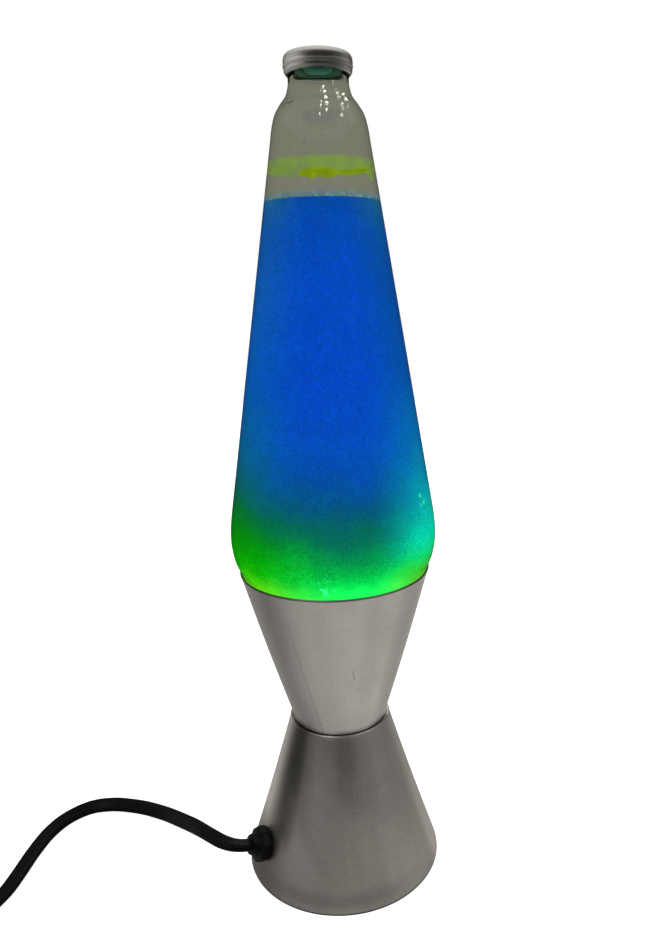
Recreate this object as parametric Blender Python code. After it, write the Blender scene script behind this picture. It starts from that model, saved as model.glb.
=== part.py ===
"""Lava lamp: a two-cone spun metal base, a tapered glass globe that lifts off it, and its lead.

Metres, +Z up. The origin is the centre of the foot ring's lower face, where the lamp stands.
The lamp is turned about Z; the lead leaves the lower cone towards -X.
"""

import math

import bmesh
import bpy
from mathutils import Matrix, Vector

MM = 0.001
GAP = 0.3 * MM  # between touching solids

# Turned shells
SEGMENTS = 28
FINE_SEGMENTS = 20
FOOT_R = 44.9 * MM
FOOT_RING_H = 1.4 * MM
FOOT_RING_W = 3.2 * MM
CONE_WALL = 0.9 * MM
WAIST_Z = 72.7 * MM
WAIST_R = 22.8 * MM
CUP_WALL = 0.8 * MM
CUP_FLOOR_Z = 73.6 * MM
CUP_FLOOR_R = 21.2 * MM
CUP_RIM_Z = 144.4 * MM
CUP_RIM_R = 41.5 * MM
HOLDER_HOLE_R = 14.9 * MM

# Globe
GLASS_WALL = 1.7 * MM
GLOBE_BOTTOM_Z = 124.0 * MM
GLOBE_WIDEST_R = 44.4 * MM
TAPER_LOW = (41.2 * MM, 184.5 * MM)  # radius and height where the straight taper starts
TAPER_HIGH = (19.6 * MM, 318.5 * MM)  # and where it ends, under the shoulder
LIQUID_TOP_Z = 296.2 * MM
NECK_R = 11.7 * MM
LIP_R = 12.0 * MM
LIP_Z = 347.4 * MM
BORE_R = 9.8 * MM
TOP_Z = 350.0 * MM
CAP_R = 13.5 * MM

# Base closure: a pressed plate held by nuts on a hollow threaded rod
PLATE_R = 42.0 * MM
PLATE_Z = 2.3 * MM
PLATE_THICK = 1.2 * MM
PLATE_RISE = 5.7 * MM
ROD_R = 4.9 * MM
ROD_BORE_R = 3.9 * MM
VENTS = 6
VENT_R = 3.2 * MM
VENT_CIRCLE_R = 35.0 * MM

# Lampholder and bulb
HOLDER_R = 14.5 * MM
HOLDER_BOTTOM_Z = 44.0 * MM
HOLDER_TOP_Z = 80.0 * MM
HOLDER_BORE_R = 9.8 * MM
BULB_R = 17.0 * MM
BULB_TOP_Z = 111.0 * MM
BULB_CAP_R = 8.5 * MM
TERMINAL_X = 9.0 * MM

# Gland: the side and the height where the lead leaves the lower cone
GLAND_AZIMUTH = math.radians(-150)
GLAND_Z = 17.0 * MM
GLAND_ACROSS = 15.2 * MM
GLAND_HEAD = 4.6 * MM
GLAND_NOSE = 2.8 * MM

# Lead
CORD_D = 6.6 * MM
CORD_Z = 3.5 * MM  # its centre line where it lies on the table
COIL_CENTRE = (-226.0 * MM, -4.0 * MM)
COIL_OUTER_R = 45.0 * MM
COIL_INNER_R = 31.0 * MM
COIL_LOW_Z = 1.3 * MM
COIL_HIGH_Z = 22.2 * MM
TIE_ANGLE = math.radians(40)
SWITCH_X = -297.0 * MM
SWITCH_Y = -8.0 * MM
SWITCH_LONG = 44.0 * MM
SWITCH_WIDE = 18.0 * MM
SWITCH_HIGH = 14.6 * MM
SWITCH_Z = 0.3 * MM
SWITCH_SPLIT_Z = 7.2 * MM
ROCKER_TILT = math.radians(8)
PLUG_X = -263.0 * MM
PLUG_Z = 30.2 * MM
PLUG_BOOT_Y = -15.5 * MM
PLUG_BOOT_LONG = 14.0 * MM
PLUG_LONG = 27.0 * MM
PLUG_WIDE = 22.0 * MM
PLUG_HIGH = 15.0 * MM
BLADE_LONG = 16.5 * MM
BLADE_SPACING = 12.7 * MM

# The lead's route, in millimetres: gland to switch, switch to coil, coil to plug
RUN_ROUTE = [
    (-41.5, -24.0, 19.6), (-44.2, -25.5, 20.5), (-48.4, -26.4, 21.7), (-53.4, -24.8, 22.2),
    (-58.6, -20.6, 21.6), (-64.4, -14.6, 19.8), (-71.0, -7.2, 17.0), (-79.2, 1.2, 13.6), (-88.2, 9.8, 10.2),
    (-98.6, 17.8, 7.1), (-110.0, 24.4, 4.9), (-122.0, 27.8, 3.7), (-133.6, 26.2, 3.5),
    (-142.6, 18.6, 3.5), (-147.6, 7.4, 3.5), (-149.6, -6.0, 3.5), (-150.2, -19.0, 3.5),
    (-151.4, -31.5, 3.5), (-155.8, -42.8, 3.5), (-164.4, -51.2, 3.5), (-176.4, -55.2, 3.5),
    (-194.0, -55.8, 3.5), (-214.0, -55.7, 3.5), (-234.0, -55.6, 3.5), (-254.0, -55.6, 3.5),
    (-269.0, -55.4, 3.5), (-281.5, -52.0, 3.7), (-291.4, -44.0, 5.0), (-296.2, -37.0, 6.6),
    (-297.0, -32.2, 7.2), (-297.0, -30.6, 7.2),
]
LINK_ROUTE = [
    (-297.0, 14.6, 7.2), (-297.0, 16.2, 7.2), (-296.2, 21.5, 6.9), (-292.8, 29.0, 6.2), (-286.0, 36.2, 5.4),
    (-276.4, 40.6, 4.9), (-265.0, 41.4, 4.7), (-255.0, 41.0, 4.7), (-247.2, 40.0, 4.7),
]
TAIL_ROUTE = [
    (-198.0, -30.2, 25.9), (-207.5, -37.0, 25.9), (-218.5, -41.2, 25.9), (-230.0, -42.2, 26.0),
    (-241.5, -40.2, 26.4), (-251.6, -34.4, 27.6), (-258.8, -26.4, 29.2), (-262.4, -20.2, 30.1),
    (-263.0, -17.2, 30.2), (-263.0, -16.0, 30.2),
]

COLOURS = {  # base colour, roughness, metallic
    "satin metal": ((0.56, 0.54, 0.52), 0.38, 1.0),
    "darker metal": ((0.40, 0.39, 0.38), 0.42, 1.0),
    "closure metal": ((0.62, 0.60, 0.59), 0.30, 1.0),
    "steel": ((0.55, 0.55, 0.56), 0.35, 1.0),
    "brass": ((0.72, 0.55, 0.26), 0.32, 1.0),
    "glass": ((0.86, 0.88, 0.84), 0.05, 0.0),
    "blue liquid": ((0.0, 0.10, 0.62), 0.10, 0.0),
    "green wax": ((0.05, 0.62, 0.04), 0.45, 0.0),
    "green plastic": ((0.02, 0.30, 0.18), 0.40, 0.0),
    "black plastic": ((0.015, 0.015, 0.015), 0.45, 0.0),
    "black rubber": ((0.02, 0.02, 0.02), 0.75, 0.0),
    "grey board": ((0.12, 0.12, 0.12), 0.80, 0.0),
    "white ceramic": ((0.80, 0.78, 0.73), 0.35, 0.0),
    "white lead": ((0.78, 0.78, 0.75), 0.50, 0.0),
    "black lead": ((0.03, 0.03, 0.03), 0.50, 0.0),
}


def material(name):
    made = bpy.data.materials.get(name)
    if made:
        return made
    colour, roughness, metallic = COLOURS[name]
    made = bpy.data.materials.new(name)
    made.use_nodes = True
    shader = made.node_tree.nodes["Principled BSDF"]
    shader.inputs["Base Color"].default_value = (*colour, 1.0)
    shader.inputs["Roughness"].default_value = roughness
    shader.inputs["Metallic"].default_value = metallic
    made.diffuse_color = (*colour, 1.0)
    return made


def place(name, mesh, finish, parent=None, location=(0, 0, 0)):
    obj = bpy.data.objects.new(name, mesh)
    bpy.context.scene.collection.objects.link(obj)
    obj.location = location
    obj.parent = parent
    if finish:
        mesh.materials.append(material(finish))
    return obj


def mesh_from(bm, name, smooth=True):
    bmesh.ops.remove_doubles(bm, verts=bm.verts, dist=1e-6)
    bmesh.ops.recalc_face_normals(bm, faces=bm.faces)
    mesh = bpy.data.meshes.new(name)
    bm.to_mesh(mesh)
    bm.free()
    if smooth:
        mesh.shade_smooth()
        mesh.set_sharp_from_angle(angle=math.radians(35))
    return mesh


def arc(centre_r, centre_z, radius, start, end, steps):
    """Points (r, z) on a circle, from start to end in degrees, counted from +R towards +Z."""
    turn = [math.radians(start + (end - start) * i / steps) for i in range(steps + 1)]
    return [(centre_r + radius * math.cos(a), centre_z + radius * math.sin(a)) for a in turn]


def offset(profile, distance):
    """The profile moved to its right-hand side by the distance."""
    moved = []
    for i, (r, z) in enumerate(profile):
        r0, z0 = profile[max(i - 1, 0)]
        r1, z1 = profile[min(i + 1, len(profile) - 1)]
        along = Vector((r1 - r0, z1 - z0)).normalized()
        moved.append((r + along.y * distance, z - along.x * distance))
    return moved


def turned_mesh(name, profile, segments=SEGMENTS):
    """A closed profile turned about Z. One that starts and ends on the axis stays open there."""
    bm = bmesh.new()
    points = [bm.verts.new((r, 0, z)) for r, z in profile]
    edges = [bm.edges.new(pair) for pair in zip(points, points[1:])]
    if profile[0][0] > 0 or profile[-1][0] > 0:
        edges.append(bm.edges.new((points[-1], points[0])))
    bmesh.ops.spin(
        bm, geom=points + edges, cent=(0, 0, 0), axis=(0, 0, 1), angle=2 * math.pi, steps=segments
    )
    return mesh_from(bm, name)


def turned(name, profile, finish, parent=None, location=(0, 0, 0), segments=SEGMENTS):
    return place(name, turned_mesh(name, profile, segments), finish, parent, location)


def ring_loft(name, rings):
    """A closed skin over rings of points that all have the same count, with flat ends."""
    bm = bmesh.new()
    loops = [[bm.verts.new(point) for point in ring] for ring in rings]
    for low, high in zip(loops, loops[1:]):
        for i in range(len(low)):
            j = (i + 1) % len(low)
            bm.faces.new((low[i], low[j], high[j], high[i]))
    bm.faces.new(loops[0])
    bm.faces.new(loops[-1])
    return mesh_from(bm, name)


def polygon(sides, across, z, round_to=None):
    """A ring of two points per side: a polygon of that width across its flats, or a circle."""
    points = []
    for i in range(2 * sides):
        angle = math.pi * i / sides
        corner = i % 2 == 0
        radius = across / 2 / math.cos(math.pi / sides) if corner else across / 2
        radius = round_to or radius
        points.append((radius * math.cos(angle), radius * math.sin(angle), z))
    return points


def rounded_box(name, size, corner, steps=3):
    """A box of rounded plan with flat top and bottom, centred on the origin, its long side on Y."""
    half_x, half_y = size[0] / 2 - corner, size[1] / 2 - corner
    plan = []
    for k, (sx, sy) in enumerate(((1, 1), (-1, 1), (-1, -1), (1, -1))):
        for i in range(steps + 1):
            angle = math.pi / 2 * (k + i / steps)
            plan.append((sx * half_x + corner * math.cos(angle), sy * half_y + corner * math.sin(angle)))
    return ring_loft(name, [[(x, y, z) for x, y in plan] for z in (-size[2] / 2, size[2] / 2)])


def box_mesh(name, size):
    bm = bmesh.new()
    bmesh.ops.create_cube(bm, size=1)
    bmesh.ops.scale(bm, vec=size, verts=bm.verts)
    return mesh_from(bm, name, smooth=False)


def rod_mesh(name, radius, length, sides=12):
    """A round rod along Z, centred on the origin."""
    bm = bmesh.new()
    bmesh.ops.create_cone(
        bm, cap_ends=True, segments=sides, radius1=radius, radius2=radius, depth=length
    )
    return mesh_from(bm, name)


def cutter(mesh, matrix):
    obj = bpy.data.objects.new(mesh.name, mesh)
    bpy.context.scene.collection.objects.link(obj)
    obj.matrix_world = matrix
    obj.hide_render = True
    obj.display_type = "WIRE"
    return obj


def cut(target, tool, operation="DIFFERENCE"):
    modifier = target.modifiers.new(tool.name, "BOOLEAN")
    modifier.operation = operation
    modifier.solver = "EXACT"
    modifier.object = tool


def smooth_route(route, spacing):
    """Even points on a Catmull-Rom curve through the route, which is in millimetres."""
    knots = [Vector(point) * MM for point in route]
    knots = [2 * knots[0] - knots[1], *knots, 2 * knots[-1] - knots[-2]]
    dense = []
    for a, b, c, d in zip(knots, knots[1:], knots[2:], knots[3:]):
        for i in range(16):
            t = i / 16
            dense.append(
                0.5
                * (2 * b + (c - a) * t + (2 * a - 5 * b + 4 * c - d) * t**2 + (3 * b - a - 3 * c + d) * t**3)
            )
    dense.append(knots[-2])
    walked = [0.0]
    for a, b in zip(dense, dense[1:]):
        walked.append(walked[-1] + (b - a).length)
    steps = max(2, round(walked[-1] / spacing))
    square_end = 1.5 * MM  # a short straight piece, so that each end is cut square
    goals = [walked[-1] * i / steps for i in range(steps + 1)]
    goals = [0.0, square_end, *goals[1:-1], walked[-1] - square_end, walked[-1]]
    points, k = [], 0
    for goal in goals:
        while k < len(walked) - 2 and walked[k + 1] < goal:
            k += 1
        share = (goal - walked[k]) / (walked[k + 1] - walked[k])
        points.append(dense[k].lerp(dense[k + 1], share))
    return points


def tube(name, route, radius, finish, spacing, resolution=2):
    curve = bpy.data.curves.new(name, "CURVE")
    curve.dimensions = "3D"
    curve.bevel_depth = radius
    curve.bevel_resolution = resolution
    curve.use_fill_caps = True
    points = smooth_route(route, spacing)
    spline = curve.splines.new("POLY")
    spline.points.add(len(points) - 1)
    for slot, point in zip(spline.points, points):
        slot.co = (*point, 1.0)
    obj = place(name, curve, None)
    curve.materials.append(material(finish))
    return obj


def cone_radius(z):
    """The lower cone's outer radius: a straight taper, drawn in by 0.4 mm at half height."""
    low_z = FOOT_RING_H + GAP
    share = (z - low_z) / (WAIST_Z - low_z)
    return FOOT_R - 0.2 * MM + (WAIST_R - FOOT_R) * share - 0.4 * MM * math.sin(math.pi * share)


def cup_radius(z):
    """The upper cup's outer radius: a straight taper, swelling by 0.4 mm at half height."""
    share = (z - CUP_FLOOR_Z) / (CUP_RIM_Z - CUP_FLOOR_Z)
    return CUP_FLOOR_R + (CUP_RIM_R - CUP_FLOOR_R) * share + 0.4 * MM * math.sin(math.pi * share)


def make_base():
    low_z = FOOT_RING_H + GAP
    turned(
        "foot_ring",
        [
            (FOOT_R, FOOT_RING_H),
            (FOOT_R - FOOT_RING_W, FOOT_RING_H),
            (FOOT_R - FOOT_RING_W, 0),
            (FOOT_R - 0.5 * MM, 0),
            (FOOT_R, 0.5 * MM),
        ],
        "black rubber",
    )
    levels = [low_z + (WAIST_Z - 1.2 * MM - low_z) * i / 5 for i in range(6)]
    outer = [(cone_radius(z), z) for z in levels]
    bead = arc(WAIST_R - 0.7 * MM, WAIST_Z - 0.4 * MM, 0.9 * MM, -20, 120, 4)
    inner = offset(outer, -CONE_WALL)[::-1]
    flange_low, flange_high = WAIST_Z - 0.8 * MM, WAIST_Z
    cone = turned(
        "lower_cone",
        [
            *outer,
            *bead,
            (WAIST_R - 1.6 * MM, flange_high),
            (HOLDER_HOLE_R, flange_high),
            (HOLDER_HOLE_R, flange_low),
            (WAIST_R - 1.6 * MM, flange_low),
            *inner[:-1],
            (outer[0][0] - CONE_WALL, low_z),
        ],
        "darker metal",
    )
    hole = rod_mesh("gland_hole", 5.9 * MM, 12 * MM, 16)
    cut(cone, cutter(hole, gland_matrix()))

    plate = turned(
        "base_plate",
        [
            (PLATE_R, PLATE_Z),
            (PLATE_R, PLATE_Z + PLATE_THICK),
            (22 * MM, PLATE_Z + PLATE_THICK),
            (17 * MM, PLATE_Z + PLATE_THICK + PLATE_RISE),
            (ROD_R + 0.4 * MM, PLATE_Z + PLATE_THICK + PLATE_RISE),
            (ROD_R + 0.4 * MM, PLATE_Z + PLATE_RISE),
            (16 * MM, PLATE_Z + PLATE_RISE),
            (21 * MM, PLATE_Z),
        ],
        "grey board",
    )
    for i in range(VENTS):
        turn = Matrix.Rotation(2 * math.pi * (i + 0.5) / VENTS, 4, "Z")
        spot = Matrix.Translation((VENT_CIRCLE_R, 0, PLATE_Z))
        cut(plate, cutter(rod_mesh(f"vent_{i + 1}", VENT_R, 6 * MM, 10), turn @ spot))

    rod_low, rod_high = 2.2 * MM, HOLDER_BOTTOM_Z + 4.2 * MM
    turned(
        "tie_tube",
        [(ROD_R, rod_low), (ROD_R, rod_high), (ROD_BORE_R, rod_high), (ROD_BORE_R, rod_low)],
        "steel",
        segments=FINE_SEGMENTS,
    )
    under = PLATE_Z + PLATE_RISE
    turned(
        "base_washer",
        [
            (10 * MM, under - 1.0 * MM),
            (10 * MM, under - GAP),
            (ROD_R + GAP, under - GAP),
            (ROD_R + GAP, under - 1.0 * MM),
        ],
        "steel",
        segments=FINE_SEGMENTS,
    )
    hex_nut("base_nut", ROD_R + 0.2 * MM, 15 * MM, under - 4.6 * MM, under - 1.3 * MM, "steel")
    above = under + PLATE_THICK
    hex_nut("lock_nut", ROD_R + 0.2 * MM, 15 * MM, above + GAP, above + 3.6 * MM, "steel")


def hex_nut(name, bore, across, low, high, finish, location=(0, 0, 0)):
    outside = [polygon(6, across, z) for z in (low, high)]
    inside = [polygon(6, across, z, round_to=bore) for z in (high, low)]
    bm = bmesh.new()
    loops = [[bm.verts.new(point) for point in ring] for ring in outside + inside]
    for a, b in zip(loops, [*loops[1:], loops[0]]):
        for i in range(12):
            j = (i + 1) % 12
            bm.faces.new((a[i], a[j], b[j], b[i]))
    return place(name, mesh_from(bm, name), finish, location=location)


def gland_matrix():
    """Local +Z points out of the cone, square to its wall; the origin is on the outer surface."""
    slope = math.atan2(cone_radius(GLAND_Z - 5 * MM) - cone_radius(GLAND_Z + 5 * MM), 10 * MM)
    radius = cone_radius(GLAND_Z)
    spot = Matrix.Translation(
        (radius * math.cos(GLAND_AZIMUTH), radius * math.sin(GLAND_AZIMUTH), GLAND_Z)
    )
    aim = Matrix.Rotation(GLAND_AZIMUTH, 4, "Z") @ Matrix.Rotation(math.pi / 2 - slope, 4, "Y")
    return spot @ aim


def make_gland():
    base = 0.6 * MM  # clears the curved wall
    head_top = base + GLAND_HEAD
    rings = [
        polygon(8, 0, -10 * MM, round_to=5.2 * MM),
        polygon(8, 0, base, round_to=5.2 * MM),
        polygon(8, GLAND_ACROSS, base),
        polygon(8, GLAND_ACROSS, head_top - 0.9 * MM),
        polygon(8, GLAND_ACROSS - 1.8 * MM, head_top),
        polygon(8, 0, head_top, round_to=5.4 * MM),
        polygon(8, 0, head_top + GLAND_NOSE, round_to=4.4 * MM),
    ]
    body = place("gland_body", ring_loft("gland_body", rings), "black plastic")
    body.matrix_world = gland_matrix()
    nut = hex_nut("gland_nut", 5.5 * MM, 14 * MM, -5.6 * MM, -2.2 * MM, "black plastic")
    nut.matrix_world = gland_matrix()


def make_cup():
    levels = [CUP_FLOOR_Z + 0.5 * MM + (CUP_RIM_Z - 1.6 * MM - CUP_FLOOR_Z) * i / 5 for i in range(6)]
    outer = [(cup_radius(z), z) for z in levels]
    inner = offset(outer, -CUP_WALL)[::-1]
    rim = arc(CUP_RIM_R - 0.45 * MM, CUP_RIM_Z - 0.4 * MM, 0.5 * MM, 0, 180, 4)
    floor_top = CUP_FLOOR_Z + CUP_WALL
    turned(
        "upper_cup",
        [
            (CUP_FLOOR_R - 0.6 * MM, CUP_FLOOR_Z),
            *outer,
            *rim,
            *inner[:-1],
            (CUP_FLOOR_R - 0.4 * MM, floor_top),
            (HOLDER_HOLE_R, floor_top),
            (HOLDER_HOLE_R, CUP_FLOOR_Z),
        ],
        "satin metal",
    )


def make_lampholder():
    shoulder = CUP_FLOOR_Z + CUP_WALL + GAP
    holder = turned(
        "lampholder_body",
        [
            (0, HOLDER_BOTTOM_Z + 4.5 * MM),
            (ROD_R + 0.2 * MM, HOLDER_BOTTOM_Z + 4.5 * MM),
            (ROD_R + 0.2 * MM, HOLDER_BOTTOM_Z),
            (12.5 * MM, HOLDER_BOTTOM_Z),
            (HOLDER_R, HOLDER_BOTTOM_Z + 3 * MM),
            (HOLDER_R, shoulder),
            (18 * MM, shoulder),
            (18 * MM, shoulder + 1.8 * MM),
            (12.6 * MM, shoulder + 1.8 * MM),
            (12.2 * MM, HOLDER_TOP_Z),
            (HOLDER_BORE_R, HOLDER_TOP_Z),
            (HOLDER_BORE_R, 53 * MM),
            (0, 53 * MM),
        ],
        "white ceramic",
        segments=FINE_SEGMENTS,
    )
    for i, side in enumerate((1, -1)):
        spot = Matrix.Translation((side * TERMINAL_X, 0, HOLDER_BOTTOM_Z))
        cut(holder, cutter(rod_mesh(f"terminal_hole_{i + 1}", 1.7 * MM, 10 * MM, 8), spot))
        make_screw(f"terminal_screw_{i + 1}", "brass", 2.6 * MM, 1.3 * MM, 1.6 * MM, 4 * MM, spot)
    nut_top = WAIST_Z - 0.8 * MM - GAP
    turned(
        "clamp_washer",
        [
            (19.5 * MM, nut_top - 0.8 * MM),
            (19.5 * MM, nut_top),
            (HOLDER_R + GAP, nut_top),
            (HOLDER_R + GAP, nut_top - 0.8 * MM),
        ],
        "steel",
        segments=FINE_SEGMENTS,
    )
    turned(
        "lampholder_ring",
        [
            (18.6 * MM, nut_top - 5.6 * MM),
            (18.6 * MM, nut_top - 1.1 * MM),
            (HOLDER_R + GAP, nut_top - 1.1 * MM),
            (HOLDER_R + GAP, nut_top - 5.6 * MM),
        ],
        "white ceramic",
        segments=FINE_SEGMENTS,
    )
    turned(
        "screw_shell",
        [(9.45 * MM, 57 * MM), (9.45 * MM, 78 * MM), (8.95 * MM, 78 * MM), (8.95 * MM, 57 * MM)],
        "brass",
        segments=FINE_SEGMENTS,
    )
    strip = [
        (-7.5, 53.3), (-3.5, 53.3), (-2, 54.9), (2, 54.9), (3.5, 53.3), (7.5, 53.3),
        (7.5, 53.8), (3.8, 53.8), (2.3, 55.4), (-2.3, 55.4), (-3.8, 53.8), (-7.5, 53.8),
    ]
    sides = [[(x * MM, y * MM, z * MM) for x, z in strip] for y in (-2.5, 2.5)]
    place("centre_contact", ring_loft("centre_contact", sides), "brass")


def make_screw(name, finish, head_r, shank_r, head_h, shank_l, matrix, head_up=False):
    """A screw with its shank along +Z from the head's bearing face, which is at the matrix."""
    way = -1 if head_up else 1
    gap = GAP * way
    profile = [
        (0, -way * head_h - gap),
        (head_r * 0.8, -way * head_h - gap),
        (head_r, -way * head_h * 0.6 - gap),
        (head_r, -gap),
        (shank_r, -gap),
        (shank_r, way * shank_l),
        (0, way * shank_l),
    ]
    obj = turned(name, profile, finish, segments=10)
    obj.matrix_world = matrix


def make_bulb():
    pivot = bpy.data.objects.new("bulb_axis", None)
    bpy.context.scene.collection.objects.link(pivot)
    ridges = []
    for i in range(5):
        z = (60.5 + 3.0 * i) * MM
        ridges += [(BULB_CAP_R - 0.5 * MM, z), (BULB_CAP_R, z + 1.5 * MM)]
    turned(
        "bulb_cap",
        [
            (6.6 * MM, 59.4 * MM),
            (BULB_CAP_R - 0.4 * MM, 59.8 * MM),
            *ridges,
            (BULB_CAP_R - 0.3 * MM, 75.4 * MM),
            (BULB_CAP_R - 0.3 * MM, 76.4 * MM),
            (7.7 * MM, 76.4 * MM),
            (7.6 * MM, 60.4 * MM),
            (6.6 * MM, 60.2 * MM),
        ],
        "brass",
        pivot,
        segments=FINE_SEGMENTS,
    )
    turned(
        "bulb_insulator",
        [
            (0, 58.0 * MM),
            (3.2 * MM, 58.0 * MM),
            (6.2 * MM, 59.3 * MM),
            (6.2 * MM, 61.2 * MM),
            (0, 61.2 * MM),
        ],
        "black plastic",
        pivot,
        segments=FINE_SEGMENTS,
    )
    turned(
        "bulb_tip",
        [(0, 56.2 * MM), (2.0 * MM, 56.4 * MM), (2.8 * MM, 57.1 * MM), (2.8 * MM, 57.7 * MM), (0, 57.7 * MM)],
        "brass",
        pivot,
        segments=12,
    )
    centre_z = BULB_TOP_Z - BULB_R
    outer = [
        (7.2 * MM, 66 * MM),
        (7.2 * MM, 77 * MM),
        (8.6 * MM, 81 * MM),
        (12.6 * MM, 86 * MM),
        *arc(0, centre_z, BULB_R, -20, 90, 7),
    ]
    inner = offset(outer, -0.8 * MM)
    inner[-1] = (0, BULB_TOP_Z - 0.8 * MM)
    outer[-1] = (0, BULB_TOP_Z)
    turned("bulb_glass", [*inner[::-1], *outer], "glass", pivot, segments=FINE_SEGMENTS)
    filament = [
        (-2.0, 0, 62.5), (-2.0, 0, 72), (-2.4, 0, 80), (-5.0, 0, 90), (-5.0, 0, 95), (-2.5, 0, 97.5),
        (0, 0, 96.2), (2.5, 0, 97.5), (5.0, 0, 95), (5.0, 0, 90), (2.4, 0, 80), (2.0, 0, 72), (2.0, 0, 62.5),
    ]
    wire = tube("bulb_filament", filament, 0.35 * MM, "steel", 4 * MM, resolution=0)
    wire.parent = pivot


def globe_outer():
    """The globe's outer profile, from the middle of its base to its lip."""
    return [
        (0, GLOBE_BOTTOM_Z + 3.0 * MM),
        (14 * MM, GLOBE_BOTTOM_Z + 2.2 * MM),
        (24 * MM, GLOBE_BOTTOM_Z + 0.2 * MM),
        (28 * MM, GLOBE_BOTTOM_Z),
        (32.6 * MM, GLOBE_BOTTOM_Z + 1.6 * MM),
        (35.9 * MM, GLOBE_BOTTOM_Z + 6.0 * MM),
        (38.0 * MM, GLOBE_BOTTOM_Z + 12.0 * MM),
        (39.6 * MM, CUP_RIM_Z - 2.6 * MM),
        (40.1 * MM, CUP_RIM_Z + 0.3 * MM),
        (41.7 * MM, CUP_RIM_Z + 2.2 * MM),
        (43.2 * MM, CUP_RIM_Z + 5.8 * MM),
        (GLOBE_WIDEST_R - 0.2 * MM, 155.5 * MM),
        (GLOBE_WIDEST_R, 160.5 * MM),
        (GLOBE_WIDEST_R - 0.5 * MM, 167.0 * MM),
        (GLOBE_WIDEST_R - 1.7 * MM, 175.0 * MM),
        TAPER_LOW,
        *[
            (
                TAPER_LOW[0] + (TAPER_HIGH[0] - TAPER_LOW[0]) * share,
                TAPER_LOW[1] + (TAPER_HIGH[1] - TAPER_LOW[1]) * share,
            )
            for share in (0.33, 0.67)
        ],
        TAPER_HIGH,
        (18.9 * MM, 323.0 * MM),
        (17.6 * MM, 328.0 * MM),
        (15.3 * MM, 331.8 * MM),
        (12.9 * MM, 335.0 * MM),
        (NECK_R, 339.0 * MM),
        (LIP_R, 341.6 * MM),
        (LIP_R, LIP_Z - 0.6 * MM),
        (LIP_R - 0.6 * MM, LIP_Z),
    ]


def globe_inner(clearance=0.0):
    """The inside of the glass, or what fills it with that clearance, up to the shoulder."""
    wall = [point for point in globe_outer() if point[1] < 336 * MM]
    inside = offset(wall, -GLASS_WALL - clearance)
    inside[0] = (0, GLOBE_BOTTOM_Z + 3.0 * MM + GLASS_WALL + clearance)
    return inside


def radius_at(profile, z):
    """The largest radius where the profile crosses the height."""
    found = 0.0
    for (r0, z0), (r1, z1) in zip(profile, profile[1:]):
        if min(z0, z1) <= z <= max(z0, z1) and z0 != z1:
            found = max(found, r0 + (r1 - r0) * (z - z0) / (z1 - z0))
    return found


def make_globe():
    pivot = bpy.data.objects.new("globe_axis", None)
    bpy.context.scene.collection.objects.link(pivot)
    outer = globe_outer()
    inside = globe_inner()
    mouth = [(BORE_R, LIP_Z), (BORE_R, 338.0 * MM)]
    turned("glass_globe", [*inside, *mouth[::-1], *outer[::-1]], "glass", pivot)

    fill = globe_inner(GAP)
    wax_edge_z = 163 * MM
    wax_surface = [(0, 150 * MM), (20 * MM, 151.5 * MM), (34 * MM, 156 * MM)]
    wall = [point for point in fill if point[1] < wax_edge_z and point[0] > 28 * MM]
    edge = (radius_at(fill, wax_edge_z), wax_edge_z)
    groove_in, groove_out, groove_z = 18.6 * MM, 25.4 * MM, 133.2 * MM
    floor = [
        (0, GLOBE_BOTTOM_Z + 3.0 * MM + GLASS_WALL + GAP),
        (groove_in, GLOBE_BOTTOM_Z + 2.4 * MM + GLASS_WALL),
        (groove_in, groove_z),
        (groove_out, groove_z),
        (groove_out, GLOBE_BOTTOM_Z + 1.6 * MM + GLASS_WALL),
    ]
    turned("wax", [*floor, *wall, edge, *wax_surface[::-1]], "green wax", pivot)
    turned(
        "wire_coil",
        arc((groove_in + groove_out) / 2, 129.9 * MM, 2.6 * MM, 0, 315, 7),
        "steel",
        pivot,
        segments=24,
    )
    above = [(r, z + GAP) for r, z in wax_surface]
    high = [point for point in fill if wax_edge_z + GAP < point[1] < LIQUID_TOP_Z]
    low_edge = (radius_at(fill, wax_edge_z + GAP), wax_edge_z + GAP)
    top_edge = (radius_at(fill, LIQUID_TOP_Z), LIQUID_TOP_Z)
    turned("liquid", [*above, low_edge, *high, top_edge, (0, LIQUID_TOP_Z)], "blue liquid", pivot)

    turned(
        "stopper",
        [
            (0, 343.4 * MM),
            (BORE_R - GAP - 0.4 * MM, 343.4 * MM),
            (BORE_R - GAP, 344.2 * MM),
            (BORE_R - GAP, LIP_Z + GAP),
            (LIP_R + 0.2 * MM, LIP_Z + GAP),
            (LIP_R + 0.2 * MM, LIP_Z + 1.5 * MM),
            (0, LIP_Z + 1.5 * MM),
        ],
        "green plastic",
        pivot,
        segments=FINE_SEGMENTS,
    )
    turned(
        "closure_cap",
        [
            (0, TOP_Z - 0.7 * MM),
            (12.3 * MM, TOP_Z - 0.7 * MM),
            (12.7 * MM, TOP_Z - 1.6 * MM),
            (12.7 * MM, 346.2 * MM),
            (12.8 * MM, 345.6 * MM),
            (12.3 * MM, 344.5 * MM),
            (12.6 * MM, 344.1 * MM),
            (13.2 * MM, 344.7 * MM),
            (CAP_R, 345.5 * MM),
            (CAP_R - 0.1 * MM, 346.2 * MM),
            (CAP_R, TOP_Z - 2.6 * MM),
            (CAP_R - 0.5 * MM, TOP_Z - 1.1 * MM),
            (CAP_R - 1.4 * MM, TOP_Z - 0.2 * MM),
            (11.2 * MM, TOP_Z),
            (0, TOP_Z),
        ],
        "closure metal",
        pivot,
        segments=SEGMENTS,
    )


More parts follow.
